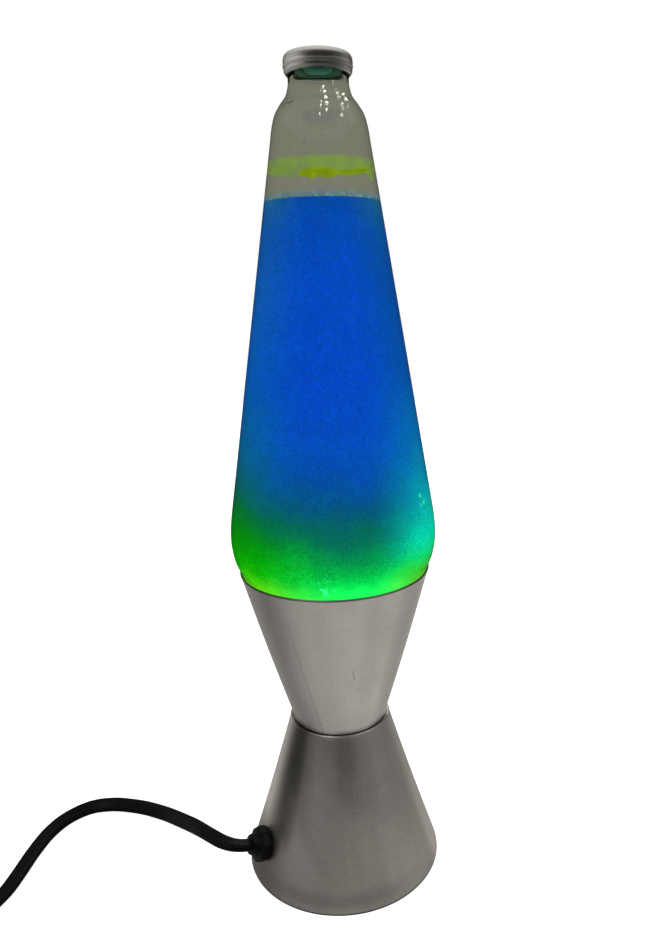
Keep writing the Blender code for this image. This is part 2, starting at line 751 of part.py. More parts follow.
def make_leads():
    start = gland_matrix() @ Vector((0, 0, -10.3 * MM)) / MM
    screw_z = HOLDER_BOTTOM_Z / MM - 2.0 - 1.4
    for name, finish, side in (("lead_live", "black lead", -1), ("lead_neutral", "white lead", 1)):
        first = (start[0] - 1.0 * side, start[1] + 1.9 * side, start[2])
        route = [
            first,
            (first[0] + 3.5, first[1] + 2.0, first[2] - 0.8),
            (-15.5 + 4 * side, -10.5 + 2.5 * side, 18.0),
            (-9.0 + 7 * side, -8.0, 27.0),
            (side * TERMINAL_X / MM, -3.5, 35.5),
            (side * TERMINAL_X / MM, -0.6, screw_z - 1.2),
            (side * TERMINAL_X / MM, 0, screw_z + 0.1),
        ]
        tube(name, route, 1.0 * MM, finish, 4 * MM, resolution=1)


def make_cord():
    spacing = 2.2 * CORD_D
    tube("cord_run", RUN_ROUTE, CORD_D / 2, "black rubber", spacing)
    tube("cord_link", LINK_ROUTE, CORD_D / 2, "black rubber", spacing)
    tube("cord_tail", TAIL_ROUTE, CORD_D / 2, "black rubber", spacing)
    corner = 2.4 * MM
    profile = [
        *arc(COIL_OUTER_R - corner, COIL_LOW_Z + corner, corner, -90, 0, 2),
        *arc(COIL_OUTER_R - corner, COIL_HIGH_Z - corner, corner, 0, 90, 2),
        *arc(COIL_INNER_R + corner, COIL_HIGH_Z - corner, corner, 90, 180, 2),
        *arc(COIL_INNER_R + corner, COIL_LOW_Z + corner, corner, 180, 270, 2),
    ]
    turned("cord_coil", profile, "black rubber", location=(*COIL_CENTRE, 0))
    make_tie()


def make_tie():
    """A band round the bundle of turns, seen in section across the ring and drawn 5 mm wide."""
    mid_r = (COIL_OUTER_R + COIL_INNER_R) / 2
    mid_z = (COIL_LOW_Z + COIL_HIGH_Z) / 2
    half_w = (COIL_OUTER_R - COIL_INNER_R) / 2
    half_h = (COIL_HIGH_Z - COIL_LOW_Z) / 2
    loops = []
    for grow, side in ((0.35 * MM, -1), (0.35 * MM, 1), (1.1 * MM, 1), (1.1 * MM, -1)):
        section = []
        for k, (sx, sz) in enumerate(((1, 1), (-1, 1), (-1, -1), (1, -1))):
            for i in range(3):
                angle = math.pi / 2 * (k + i / 2)
                x = sx * (half_w - 2.4 * MM) + (2.4 * MM + grow) * math.cos(angle)
                z = sz * (half_h - 2.4 * MM) + (2.4 * MM + grow) * math.sin(angle)
                section.append((mid_r + x + 0.15 * MM * sx, side * 2.5 * MM, mid_z + z))
        loops.append(section)
    bm = bmesh.new()
    rings = [[bm.verts.new(point) for point in loop] for loop in loops]
    for a, b in zip(rings, [*rings[1:], rings[0]]):
        for i in range(12):
            j = (i + 1) % 12
            bm.faces.new((a[i], a[j], b[j], b[i]))
    tie = place("coil_tie", mesh_from(bm, "coil_tie"), "black plastic")
    tie.matrix_world = Matrix.Translation((*COIL_CENTRE, 0)) @ Matrix.Rotation(TIE_ANGLE, 4, "Z")


def make_switch():
    centre = Matrix.Translation((SWITCH_X, SWITCH_Y, 0))
    top = SWITCH_Z + SWITCH_HIGH
    base_h = SWITCH_SPLIT_Z - SWITCH_Z
    cover_low = SWITCH_SPLIT_Z + GAP
    cover_h = top - cover_low
    base = place(
        "switch_base",
        rounded_box("switch_base", (SWITCH_WIDE, SWITCH_LONG, base_h), 4 * MM),
        "black plastic",
    )
    base.matrix_world = centre @ Matrix.Translation((0, 0, SWITCH_Z + base_h / 2))
    cover = place(
        "switch_cover",
        rounded_box("switch_cover", (SWITCH_WIDE, SWITCH_LONG, cover_h), 4 * MM),
        "black plastic",
    )
    cover.matrix_world = centre @ Matrix.Translation((0, 0, cover_low + cover_h / 2))
    pocket_h = 4.6 * MM
    pocket = box_mesh("base_pocket", (13 * MM, 26 * MM, 2 * pocket_h))
    cut(base, cutter(pocket, centre @ Matrix.Translation((0, 0, SWITCH_SPLIT_Z))))
    inside = box_mesh("cover_pocket", (13 * MM, 26 * MM, 2 * 4.0 * MM))
    cut(cover, cutter(inside, centre @ Matrix.Translation((0, 0, cover_low))))
    window = box_mesh("rocker_window", (9.6 * MM, 18.4 * MM, 3 * SWITCH_HIGH))
    cut(cover, cutter(window, centre @ Matrix.Translation((0, 0, top + SWITCH_HIGH))))

    pin_z = top - 4.6 * MM
    across = Matrix.Rotation(math.pi / 2, 4, "Y")
    pin_spot = centre @ Matrix.Translation((0, 0, pin_z)) @ across
    hole = rod_mesh("pin_hole", 1.1 * MM, 15.4 * MM, 12)
    pin = place("switch_pin", rod_mesh("switch_pin", 1.0 * MM, 15.0 * MM, 12), "steel")
    pin.matrix_world = pin_spot
    cut(cover, cutter(hole, pin_spot))
    make_rocker(centre @ Matrix.Translation((0, 0, pin_z)))

    for i, side in enumerate((-1, 1)):
        spot = centre @ Matrix.Translation((0, side * 17.0 * MM, SWITCH_Z))
        sink = rod_mesh(f"screw_sink_{i + 1}", 2.9 * MM, 4.4 * MM, 12)
        bore = rod_mesh(f"screw_bore_{i + 1}", 1.5 * MM, 22 * MM, 8)
        sink_tool = cutter(sink, spot)
        bore_tool = cutter(bore, spot)
        cut(base, sink_tool)
        cut(base, bore_tool)
        cut(cover, bore_tool)
        head = spot @ Matrix.Translation((0, 0, 2.2 * MM))
        make_screw(f"switch_screw_{i + 1}", "steel", 2.5 * MM, 1.15 * MM, 1.5 * MM, 8.2 * MM, head)


def make_rocker(matrix):
    """A see-saw button on its pin, at rest with its far end pressed down."""
    outline = []
    for i in range(9):
        share = i / 8
        y = (-8.4 + 16.8 * share) * MM
        outline.append((y, (4.2 + 1.7 * (2 * share - 1) ** 2) * MM))
    outline += [(7.6 * MM, -1.2 * MM), (2.2 * MM, -3.2 * MM), (-2.2 * MM, -3.2 * MM), (-7.6 * MM, -1.2 * MM)]
    sides = [[(x, y, z) for y, z in outline] for x in (-4.4 * MM, 4.4 * MM)]
    rocker = place("switch_rocker", ring_loft("switch_rocker", sides), "black plastic")
    rocker.matrix_world = matrix @ Matrix.Rotation(-ROCKER_TILT, 4, "X")
    eye = rod_mesh("rocker_eye", 1.1 * MM, 12 * MM, 12)
    cut(rocker, cutter(eye, matrix @ Matrix.Rotation(math.pi / 2, 4, "Y")))


def plug_ring(y, wide, high, power=2.6, count=16):
    """A rounded-square ring across Y."""
    points = []
    for i in range(count):
        angle = 2 * math.pi * i / count
        c, s = math.cos(angle), math.sin(angle)
        x = math.copysign(abs(c) ** (2 / power), c) * wide / 2
        z = math.copysign(abs(s) ** (2 / power), s) * high / 2
        points.append((x, y, z))
    return points


def make_plug():
    boot_end = PLUG_BOOT_Y + PLUG_BOOT_LONG
    body_low = boot_end + GAP
    body_high = body_low + PLUG_LONG
    boot = [
        plug_ring(PLUG_BOOT_Y, 8.0 * MM, 7.6 * MM),
        plug_ring(PLUG_BOOT_Y + 6 * MM, 9.0 * MM, 8.4 * MM),
        plug_ring(boot_end, 11.0 * MM, 9.6 * MM),
    ]
    spot = Matrix.Translation((PLUG_X, 0, PLUG_Z))
    made = place("plug_boot", ring_loft("plug_boot", boot), "black rubber")
    made.matrix_world = spot
    body = [
        plug_ring(body_low, 12.4 * MM, 10.6 * MM),
        plug_ring(body_low + 5 * MM, 15.6 * MM, 12.6 * MM),
        plug_ring(body_low + 11 * MM, 17.6 * MM, 11.8 * MM),
        plug_ring(body_low + 18 * MM, PLUG_WIDE - 0.6 * MM, PLUG_HIGH - 0.6 * MM, 4.0),
        plug_ring(body_high - 1.2 * MM, PLUG_WIDE, PLUG_HIGH, 4.0),
        plug_ring(body_high, PLUG_WIDE - 1.6 * MM, PLUG_HIGH - 1.6 * MM, 4.0),
    ]
    made = place("plug_body", ring_loft("plug_body", body), "black rubber")
    made.matrix_world = spot
    for i, side in enumerate((-1, 1)):
        outline = [(-3.1, 0.0), (3.1, 0.0), (3.1, 15.0), (1.9, 16.5), (-1.9, 16.5), (-3.1, 15.0)]
        faces = [
            [(x, body_high + GAP + y * BLADE_LONG / 16.5, z * MM) for z, y in outline]
            for x in (-0.75 * MM, 0.75 * MM)
        ]
        name = f"plug_blade_{i + 1}"
        blade = place(name, ring_loft(name, faces), "brass")
        blade.matrix_world = spot @ Matrix.Translation((side * BLADE_SPACING / 2, 0, 0))


def main():
    for obj in list(bpy.data.objects):
        bpy.data.objects.remove(obj, do_unlink=True)
    make_base()
    make_gland()
    make_cup()
    make_lampholder()
    make_bulb()
    make_globe()
    make_leads()
    make_cord()
    make_switch()
    make_plug()


main()
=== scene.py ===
import math

import bmesh
import bpy
from mathutils import Matrix, Vector, noise


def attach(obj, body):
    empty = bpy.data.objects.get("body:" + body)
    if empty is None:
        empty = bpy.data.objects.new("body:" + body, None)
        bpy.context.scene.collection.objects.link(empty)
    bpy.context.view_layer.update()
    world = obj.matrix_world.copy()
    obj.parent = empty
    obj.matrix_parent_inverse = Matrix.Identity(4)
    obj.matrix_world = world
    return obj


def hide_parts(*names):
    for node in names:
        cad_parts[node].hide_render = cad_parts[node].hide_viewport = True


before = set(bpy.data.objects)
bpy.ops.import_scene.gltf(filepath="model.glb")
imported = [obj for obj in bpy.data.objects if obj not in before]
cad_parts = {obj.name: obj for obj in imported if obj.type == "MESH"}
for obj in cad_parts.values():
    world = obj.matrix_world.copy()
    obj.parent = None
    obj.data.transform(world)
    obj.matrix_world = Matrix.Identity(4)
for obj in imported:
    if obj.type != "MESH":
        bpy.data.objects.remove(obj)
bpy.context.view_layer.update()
mm = 0.001


# small helpers for nodes, profiles and meshes

def fromDisplay(red, green, blue):  # a colour as a screen shows it, 0 to 255, to linear light
    shares = [value / 255 for value in (red, green, blue)]
    linear = [s / 12.92 if s <= 0.04045 else ((s + 0.055) / 1.055) ** 2.4 for s in shares]
    return (*linear, 1.0)


def newMaterial(name):
    made = bpy.data.materials.new(name)
    made.use_nodes = True
    tree = made.node_tree
    return made, tree, tree.nodes["Principled BSDF"]


def addNode(tree, kind, inputs=None, **settings):
    made = tree.nodes.new(kind)
    for key, value in settings.items():
        setattr(made, key, value)
    for key, value in (inputs or {}).items():
        if isinstance(value, bpy.types.NodeSocket):
            tree.links.new(value, made.inputs[key])
        else:
            made.inputs[key].default_value = value
    return made


def calc(tree, operation, first, second=0.0):
    return addNode(tree, "ShaderNodeMath", {0: first, 1: second}, operation=operation).outputs[0]


def fade(tree, value, low, high, start=0.0, end=1.0):  # a smooth step from start to end
    made = addNode(
        tree, "ShaderNodeMapRange",
        {"Value": value, "From Min": low, "From Max": high, "To Min": start, "To Max": end},
        interpolation_type="SMOOTHSTEP",
    )
    return made.outputs["Result"]


def grainOf(tree, place, scale, detail=3.0, roughness=0.55):
    made = addNode(
        tree, "ShaderNodeTexNoise",
        {"Vector": place, "Scale": scale, "Detail": detail, "Roughness": roughness},
    )
    return made.outputs["Fac"]


def mixColour(tree, share, first, second, how="MIX"):
    made = addNode(tree, "ShaderNodeMix", data_type="RGBA", blend_type=how)
    for slot, value in ((0, share), (6, first), (7, second)):
        if isinstance(value, bpy.types.NodeSocket):
            tree.links.new(value, made.inputs[slot])
        else:
            made.inputs[slot].default_value = value
    return made.outputs[2]


def colourRamp(tree, share, stops):
    made = addNode(tree, "ShaderNodeValToRGB", {"Fac": share})
    ramp = made.color_ramp
    while len(ramp.elements) < len(stops):
        ramp.elements.new(0.5)
    for element, (position, colour) in zip(ramp.elements, stops):
        element.position = position
        element.color = colour
    return made.outputs["Color"]


def placeOf(tree):  # where the point is on the object, in metres
    return addNode(tree, "ShaderNodeTexCoord").outputs["Object"]


def splitPlace(tree, place):
    made = addNode(tree, "ShaderNodeSeparateXYZ", {0: place})
    return made.outputs[0], made.outputs[1], made.outputs[2]


def farFrom(tree, place, centre):  # the distance to a point given in mm
    spot = tuple(value * mm for value in centre)
    made = addNode(tree, "ShaderNodeVectorMath", {0: place, 1: spot}, operation="DISTANCE")
    return made.outputs["Value"]


def greyOf(tree, value):  # a number as a grey
    return addNode(tree, "ShaderNodeCombineColor", {0: value, 1: value, 2: value}).outputs[0]


def bumpFrom(tree, shader, height, strength, distance):
    made = addNode(
        tree, "ShaderNodeBump",
        {"Height": height, "Strength": strength, "Distance": distance * mm},
    )
    tree.links.new(made.outputs["Normal"], shader.inputs["Normal"])


def softened(profile, radius=0.35, steps=3, closed=True):  # small rounds on a profile's corners, in mm
    made = []
    count = len(profile)
    for i, (r, z) in enumerate(profile):
        if not closed and i in (0, count - 1):
            made.append((r, z))
            continue
        before = Vector(profile[i - 1]) - Vector((r, z))
        after = Vector(profile[(i + 1) % count]) - Vector((r, z))
        if before.length < 1e-6 or after.length < 1e-6 or r < 1e-6:
            made.append((r, z))
            continue
        if before.angle(-after) < math.radians(18):
            made.append((r, z))
            continue
        cut = min(radius, 0.42 * before.length, 0.42 * after.length)
        a = Vector((r, z)) + before.normalized() * cut
        b = Vector((r, z)) + after.normalized() * cut
        for k in range(steps + 1):
            t = k / steps
            point = (1 - t) ** 2 * a + 2 * t * (1 - t) * Vector((r, z)) + t**2 * b
            made.append((max(point.x, 0.0), point.y))
    return made


def curved(points, steps=6):  # a Catmull-Rom curve through the points
    knots = [Vector(point) for point in points]
    knots = [2 * knots[0] - knots[1], *knots, 2 * knots[-1] - knots[-2]]
    made = []
    for a, b, c, d in zip(knots, knots[1:], knots[2:], knots[3:]):
        for i in range(steps):
            t = i / steps
            square = (2 * a - 5 * b + 4 * c - d) * t**2
            cube = (3 * b - a - 3 * c + d) * t**3
            made.append(0.5 * (2 * b + (c - a) * t + square + cube))
    made.append(knots[-2])
    return made


def pushedIn(profile, distance):  # the profile moved to its left by the distance
    made = []
    for i, point in enumerate(profile):
        before = Vector(profile[max(i - 1, 0)])
        after = Vector(profile[min(i + 1, len(profile) - 1)])
        along = (after - before).normalized()
        made.append((point[0] - along.y * distance, point[1] + along.x * distance))
    return made


def finishMesh(bm, name, finish, body, stands=(), sharp=40):
    bmesh.ops.remove_doubles(bm, verts=bm.verts, dist=1e-7)
    bmesh.ops.recalc_face_normals(bm, faces=bm.faces)
    mesh = bpy.data.meshes.new(name)
    bm.to_mesh(mesh)
    bm.free()
    mesh.shade_smooth()
    mesh.set_sharp_from_angle(angle=math.radians(sharp))
    mesh.materials.append(finish)
    made = bpy.data.objects.new(name, mesh)
    bpy.context.scene.collection.objects.link(made)
    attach(made, body)
    if stands:
        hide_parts(*stands)
    return made


def turned(name, profile, finish, body, stands=(), segments=144, sharp=40):
    bm = bmesh.new()  # a closed profile in mm, turned about the lamp's axis
    rings = []
    for r, z in profile:
        if r < 1e-6:
            rings.append([bm.verts.new((0, 0, z * mm))])
            continue
        ring = []
        for i in range(segments):
            angle = 2 * math.pi * i / segments
            ring.append(bm.verts.new(Vector((r * math.cos(angle), r * math.sin(angle), z)) * mm))
        rings.append(ring)
    pairs = list(zip(rings, rings[1:]))
    if len(rings[0]) > 1 or len(rings[-1]) > 1:
        pairs.append((rings[-1], rings[0]))
    for low, high in pairs:
        for i in range(segments):
            j = (i + 1) % segments
            if len(low) > 1 and len(high) > 1:
                bm.faces.new((low[i], low[j], high[j], high[i]))
            elif len(low) > 1:
                bm.faces.new((low[i], low[j], high[0]))
            elif len(high) > 1:
                bm.faces.new((low[0], high[j], high[i]))
    return finishMesh(bm, name, finish, body, stands, sharp)


def loft(name, rings, finish, body, stands, sharp, matrix):  # a skin over rings, closed at both ends
    bm = bmesh.new()
    loops = [[bm.verts.new(point) for point in ring] for ring in rings]
    for low, high in zip(loops, loops[1:]):
        for i in range(len(low)):
            j = (i + 1) % len(low)
            bm.faces.new((low[i], low[j], high[j], high[i]))
    bm.faces.new(loops[0])
    bm.faces.new(loops[-1])
    bmesh.ops.transform(bm, matrix=matrix, verts=bm.verts)
    return finishMesh(bm, name, finish, body, stands, sharp)


def bevelled(obj, width):  # rounds the edges by the width in mm
    made = obj.modifiers.new("edges", "BEVEL")
    made.width = width * mm
    made.segments = 3
    made.limit_method = "ANGLE"
    made.angle_limit = math.radians(30)


# camera, daylight and table

cameraSettings = {
    "place": (0.02449, -0.32360, 0.26339),
    "lookDown": 13.687,  # degrees
    "turn": -0.477,
    "roll": -1.064,
    "lens": 29.238,
    "shiftX": -0.06309,
}


def makeCamera(settings):
    data = bpy.data.cameras.new("viewCamera")
    data.sensor_width = 36
    data.lens = settings["lens"]
    data.shift_x = settings["shiftX"]
    data.clip_start, data.clip_end = 0.01, 20
    camera = bpy.data.objects.new("viewCamera", data)
    bpy.context.scene.collection.objects.link(camera)
    down = math.radians(settings["lookDown"])
    turn = math.radians(settings["turn"])
    roll = math.radians(settings["roll"])
    right = Vector((math.cos(turn), -math.sin(turn), 0))
    forward = Vector((math.sin(turn) * math.cos(down), math.cos(turn) * math.cos(down), -math.sin(down)))
    upward = right.cross(forward)
    xAxis = math.cos(roll) * right + math.sin(roll) * upward
    yAxis = -math.sin(roll) * right + math.cos(roll) * upward
    axes = Matrix((xAxis, yAxis, -forward)).transposed()
    camera.matrix_world = Matrix.Translation(settings["place"]) @ axes.to_4x4()
    bpy.context.scene.camera = camera


makeCamera(cameraSettings)
bpy.context.scene.view_settings.view_transform = "Standard"
bpy.context.scene.view_settings.look = "None"

studio = {
    "backdrop": (1.0, 1.0, 1.0, 1.0),
    "roomLow": fromDisplay(126, 122, 115),  # what the metal sees near the horizon
    "roomMid": fromDisplay(98, 95, 90),
    "roomHigh": fromDisplay(236, 234, 230),
    "leftGlow": 0.75,  # a pale wall on either side, for the bright edges of the metal
    "rightGlow": 0.32,
    "behindGlass": fromDisplay(126, 125, 111),  # the grey that clear glass shows
    "aroundGlass": fromDisplay(24, 24, 22),  # and what its polished face mirrors
    "tableGrey": (0.62, 0.60, 0.57, 1.0),
    "tableSpeckle": (0.44, 0.43, 0.41, 1.0),
    "tableSize": 3.0,
    "keyPower": 6.0,
    "fillPower": 2.6,
    "backPower": 3.0,
}


def mirroredBy(tree, path):  # 1 where a polished face mirrors this, 0 elsewhere
    return calc(tree, "MULTIPLY", path.outputs["Is Singular Ray"], path.outputs["Is Reflection Ray"])


def makeRoom(settings):
    world = bpy.data.worlds.new("room")
    bpy.context.scene.world = world
    world.use_nodes = True
    tree = world.node_tree
    tree.nodes.clear()
    direction = addNode(tree, "ShaderNodeTexCoord").outputs["Generated"]
    sideways, _, height = splitPlace(tree, direction)
    rise = fade(tree, height, -0.25, 1.0)
    room = colourRamp(
        tree, rise,
        [(0.0, settings["roomLow"]), (0.18, settings["roomMid"]), (0.5, settings["roomMid"]),
         (1.0, settings["roomHigh"])],
    )
    walls = calc(
        tree, "ADD", fade(tree, sideways, -0.45, -0.95, 0.0, settings["leftGlow"]),
        fade(tree, sideways, 0.60, 0.98, 0.0, settings["rightGlow"]),
    )
    walls = calc(tree, "MULTIPLY", walls, fade(tree, calc(tree, "ABSOLUTE", height), 0.2, 0.75, 1.0, 0.2))
    room = mixColour(tree, 1.0, room, greyOf(tree, walls), "ADD")
    path = addNode(tree, "ShaderNodeLightPath")
    room = mixColour(tree, mirroredBy(tree, path), room, settings["aroundGlass"])
    room = mixColour(tree, path.outputs["Is Transmission Ray"], room, settings["behindGlass"])
    clean = addNode(tree, "ShaderNodeBackground", {"Color": settings["backdrop"], "Strength": 1.0})
    seen = addNode(tree, "ShaderNodeBackground", {"Color": room, "Strength": 1.0})
    mixed = addNode(
        tree, "ShaderNodeMixShader",
        {0: path.outputs["Is Camera Ray"], 1: seen.outputs[0], 2: clean.outputs[0]},
    )
    out = addNode(tree, "ShaderNodeOutputWorld")
    tree.links.new(mixed.outputs[0], out.inputs["Surface"])


def makeTable(settings):
    half = settings["tableSize"] / 2
    mesh = bpy.data.meshes.new("table")
    corners = [(-half, -half, 0), (half, -half, 0), (half, half, 0), (-half, half, 0)]
    mesh.from_pydata(corners, [], [(0, 1, 2, 3)])
    table = bpy.data.objects.new("table", mesh)
    bpy.context.scene.collection.objects.link(table)
    material, tree, shader = newMaterial("tableTop")
    speckle = grainOf(tree, placeOf(tree), 60.0)
    tint = mixColour(tree, speckle, settings["tableGrey"], settings["tableSpeckle"])
    tree.links.new(tint, shader.inputs["Base Color"])
    shader.inputs["Roughness"].default_value = 0.8
    white = addNode(tree, "ShaderNodeEmission", {"Color": (1, 1, 1, 1), "Strength": 0.90})
    paper = addNode(tree, "ShaderNodeBsdfDiffuse", {"Color": (0.5, 0.5, 0.5, 1)})
    bright = addNode(tree, "ShaderNodeAddShader", {0: white.outputs[0], 1: paper.outputs[0]})
    path = addNode(tree, "ShaderNodeLightPath")
    mirrored = mirroredBy(tree, path)
    dim = addNode(tree, "ShaderNodeEmission", {"Color": settings["aroundGlass"], "Strength": 1.0})
    lit = addNode(tree, "ShaderNodeMixShader", {0: mirrored, 1: shader.outputs[0], 2: dim.outputs[0]})
    mixed = addNode(
        tree, "ShaderNodeMixShader",
        {0: path.outputs["Is Camera Ray"], 1: lit.outputs[0], 2: bright.outputs[0]},
    )
    tree.links.new(mixed.outputs[0], tree.nodes["Material Output"].inputs["Surface"])
    mesh.materials.append(material)


def makeLight(name, place, target, size, power, colour=(1, 1, 1)):
    data = bpy.data.lights.new(name, "AREA")
    data.shape = "DISK"
    data.size = size
    data.energy = power
    data.color = colour
    light = bpy.data.objects.new(name, data)
    bpy.context.scene.collection.objects.link(light)
    light.location = place
    aim = Vector(target) - Vector(place)
    light.rotation_mode = "QUATERNION"
    light.rotation_quaternion = aim.to_track_quat("-Z", "Y")
    return light


makeRoom(studio)
makeTable(studio)
bigLights = [
    makeLight("keyLight", (-0.45, -0.75, 1.15), (0, 0, 0.12), 0.5, studio["keyPower"], (1.0, 0.98, 0.95)),
    makeLight("fillLight", (0.85, -0.35, 0.95), (0, 0, 0.12), 0.5, studio["fillPower"], (0.97, 0.98, 1.0)),
    makeLight("backLight", (0.15, 0.95, 0.75), (0, 0, 0.30), 0.45, studio["backPower"]),
]

lampCluster = {
    "spots": [  # small ceiling lamps that the polished neck mirrors: x, y, z in metres and size
        (0.08, -0.24, 1.40, 0.05), (0.21, -0.08, 1.41, 0.12), (0.26, -0.25, 1.38, 0.12),
        (0.09, -0.49, 1.32, 0.05), (0.32, -0.67, 1.16, 0.13), (0.07, -0.85, 1.04, 0.06),
        (0.49, 0.29, 1.28, 0.09), (0.53, 0.53, 1.14, 0.10), (0.61, 0.16, 1.23, 0.08),
        (0.76, -0.08, 1.13, 0.07), (0.76, 0.21, 1.11, 0.05), (0.82, -0.37, 0.98, 0.08),
    ],
    "brightness": 60.0,  # watts per square metre of lamp
}


def makeCluster(settings):
    made = []
    for i, (x, y, z, size) in enumerate(settings["spots"]):
        power = settings["brightness"] * math.pi * (size / 2) ** 2
        made.append(makeLight(f"smallLamp{i + 1}", (x, y, z), (0, 0, 0.33), size, power))
    return made


def lightsOnly(lights, name, objects, state):  # which pieces a group of lights reaches, or leaves out
    group = bpy.data.collections.new(name)
    for obj in objects:
        group.objects.link(obj)
    for entry in group.collection_objects:
        entry.light_linking.link_state = state
    for light in lights:
        light.light_linking.receiver_collection = group


smallLights = makeCluster(lampCluster)
print("stage: camera, room and lights")


# finishes

def spunMetal(name, look):  # satin metal: fine grain, faint spun rings, soft blotches, darker lines and patches, and painted reflections and shade in bands and by height
    material, tree, shader = newMaterial(name)
    place = placeOf(tree)
    x, y, z = splitPlace(tree, place)
    around = calc(tree, "ARCTAN2", y, x)
    rings = addNode(
        tree, "ShaderNodeCombineXYZ",
        {0: calc(tree, "MULTIPLY", around, 0.6), 1: 0.0, 2: calc(tree, "MULTIPLY", z, 1400.0)},
    ).outputs[0]
    ring = grainOf(tree, rings, 1.0, 2.0)
    fine = grainOf(tree, place, 2600.0, 2.0, 0.7)
    blotch = grainOf(tree, place, 38.0, 3.0)
    streaks = addNode(
        tree, "ShaderNodeCombineXYZ",
        {0: calc(tree, "MULTIPLY", around, 2.2), 1: 4.3, 2: calc(tree, "MULTIPLY", z, 5.0)},
    ).outputs[0]
    streak = grainOf(tree, streaks, 1.0, 2.0)
    tone = calc(tree, "ADD", calc(tree, "MULTIPLY", fine, 0.62), calc(tree, "MULTIPLY", ring, 0.10))
    tone = calc(tree, "ADD", tone, calc(tree, "MULTIPLY", blotch, 0.28))
    base = colourRamp(tree, tone, [(0.38, look["dark"]), (0.50, look["colour"]), (0.62, look["light"])])
    soft = fade(tree, streak, 0.30, 0.70, look["streakDark"], 1.0)
    # painted shade and light by height, from lowShade at fadeLow to highShade at fadeHigh
    low = fade(tree, z, look["fadeLow"] * mm, look["fadeHigh"] * mm, look["lowShade"], look["highShade"])
    shade = calc(tree, "MULTIPLY", soft, low)
    for band in look.get("paintedLightBands", []):  # painted reflections and shade in soft upright bands: angle from the front, drift with height, shade
        drift = calc(tree, "MULTIPLY", z, math.radians(-band.get("drift", 0.0)) / mm)
        off = calc(tree, "ADD", calc(tree, "ADD", around, math.radians(90 - band["angle"])), drift)
        off = calc(tree, "ABSOLUTE", off)
        upTo = fade(tree, z, band["low"] * mm, band["high"] * mm)
        if "end" in band:
            downFrom = fade(tree, z, band["end"] * mm, (band["end"] + band["soft"]) * mm, 1.0, 0.0)
            upTo = calc(tree, "MULTIPLY", upTo, downFrom)
        near = fade(tree, off, 0.2 * math.radians(band["wide"]), math.radians(band["wide"]), 1.0, 0.0)
        change = calc(tree, "MULTIPLY", calc(tree, "MULTIPLY", near, upTo), band["shade"] - 1.0)
        shade = calc(tree, "MULTIPLY", shade, calc(tree, "ADD", change, 1.0))
    base = mixColour(tree, 1.0, base, greyOf(tree, shade), "MULTIPLY")
    for mark in look.get("marks", []):  # short darker lines and patches: side, height, width, tall, slant in mm
        level = calc(tree, "SUBTRACT", z, mark["height"] * mm)
        across = calc(tree, "SUBTRACT", x, mark["side"] * mm)
        across = calc(tree, "SUBTRACT", across, calc(tree, "MULTIPLY", level, mark["slant"]))
        wander = calc(tree, "MULTIPLY", calc(tree, "SUBTRACT", grainOf(tree, place, 700.0), 0.5), 0.0008)
        across = calc(tree, "ABSOLUTE", calc(tree, "ADD", across, wander))
        inLine = fade(tree, across, 0.25 * mark["width"] * mm, mark["width"] * mm, 1.0, 0.0)
        level = calc(tree, "ABSOLUTE", level)
        inReach = fade(tree, level, 0.6 * mark["tall"] * mm, mark["tall"] * mm, 1.0, 0.0)
        front = fade(tree, y, 0.0, 2 * mm, 1.0, 0.0)
        there = calc(tree, "MULTIPLY", calc(tree, "MULTIPLY", inLine, inReach), front)
        base = mixColour(tree, calc(tree, "MULTIPLY", there, mark["strength"]), base, mark["colour"])
    tree.links.new(base, shader.inputs["Base Color"])
    shader.inputs["Metallic"].default_value = look["metallic"]
    rough = fade(tree, tone, 0.3, 0.75, look["roughness"] - 0.05, look["roughness"] + 0.07)
    tree.links.new(rough, shader.inputs["Roughness"])
    bumpFrom(tree, shader, calc(tree, "ADD", calc(tree, "MULTIPLY", fine, 0.8), blotch), look["bump"], 0.05)
    return material


cupLook = {
    "dark": (0.58, 0.555, 0.55, 1), "colour": (0.69, 0.662, 0.655, 1), "light": (0.80, 0.77, 0.762, 1),
    "roughness": 0.40, "metallic": 0.95, "bump": 0.25, "streakDark": 0.90,
    "fadeLow": 76, "fadeHigh": 143, "lowShade": 1.0, "highShade": 0.90,
    # painted reflections and shade: a dark band on the left, a dark line along the rim in place of its
    # shadow, a darker band on the right and a lighter one at the right edge
    "paintedLightBands": [
        {"angle": -62, "wide": 62, "low": 60, "high": 61, "shade": 0.52},
        {"angle": 0, "wide": 1000, "low": 143.5, "high": 144.0, "shade": 0.20},
        {"angle": 62, "wide": 22, "low": 60, "high": 61, "shade": 0.84},
        {"angle": 90, "wide": 20, "low": 60, "high": 61, "shade": 1.15},
    ],
    "marks": [
        {"side": -9.5, "height": 90, "width": 0.6, "tall": 48.0, "slant": -0.20, "strength": 0.26,
         "colour": (0.22, 0.21, 0.20, 1)},
        {"side": 8.4, "height": 106, "width": 0.35, "tall": 3.0, "slant": -0.12, "strength": 0.55,
         "colour": (0.18, 0.17, 0.16, 1)},
        {"side": 21.5, "height": 88, "width": 1.0, "tall": 2.2, "slant": 0.5, "strength": 0.20,
         "colour": (0.25, 0.24, 0.23, 1)},
    ],
}
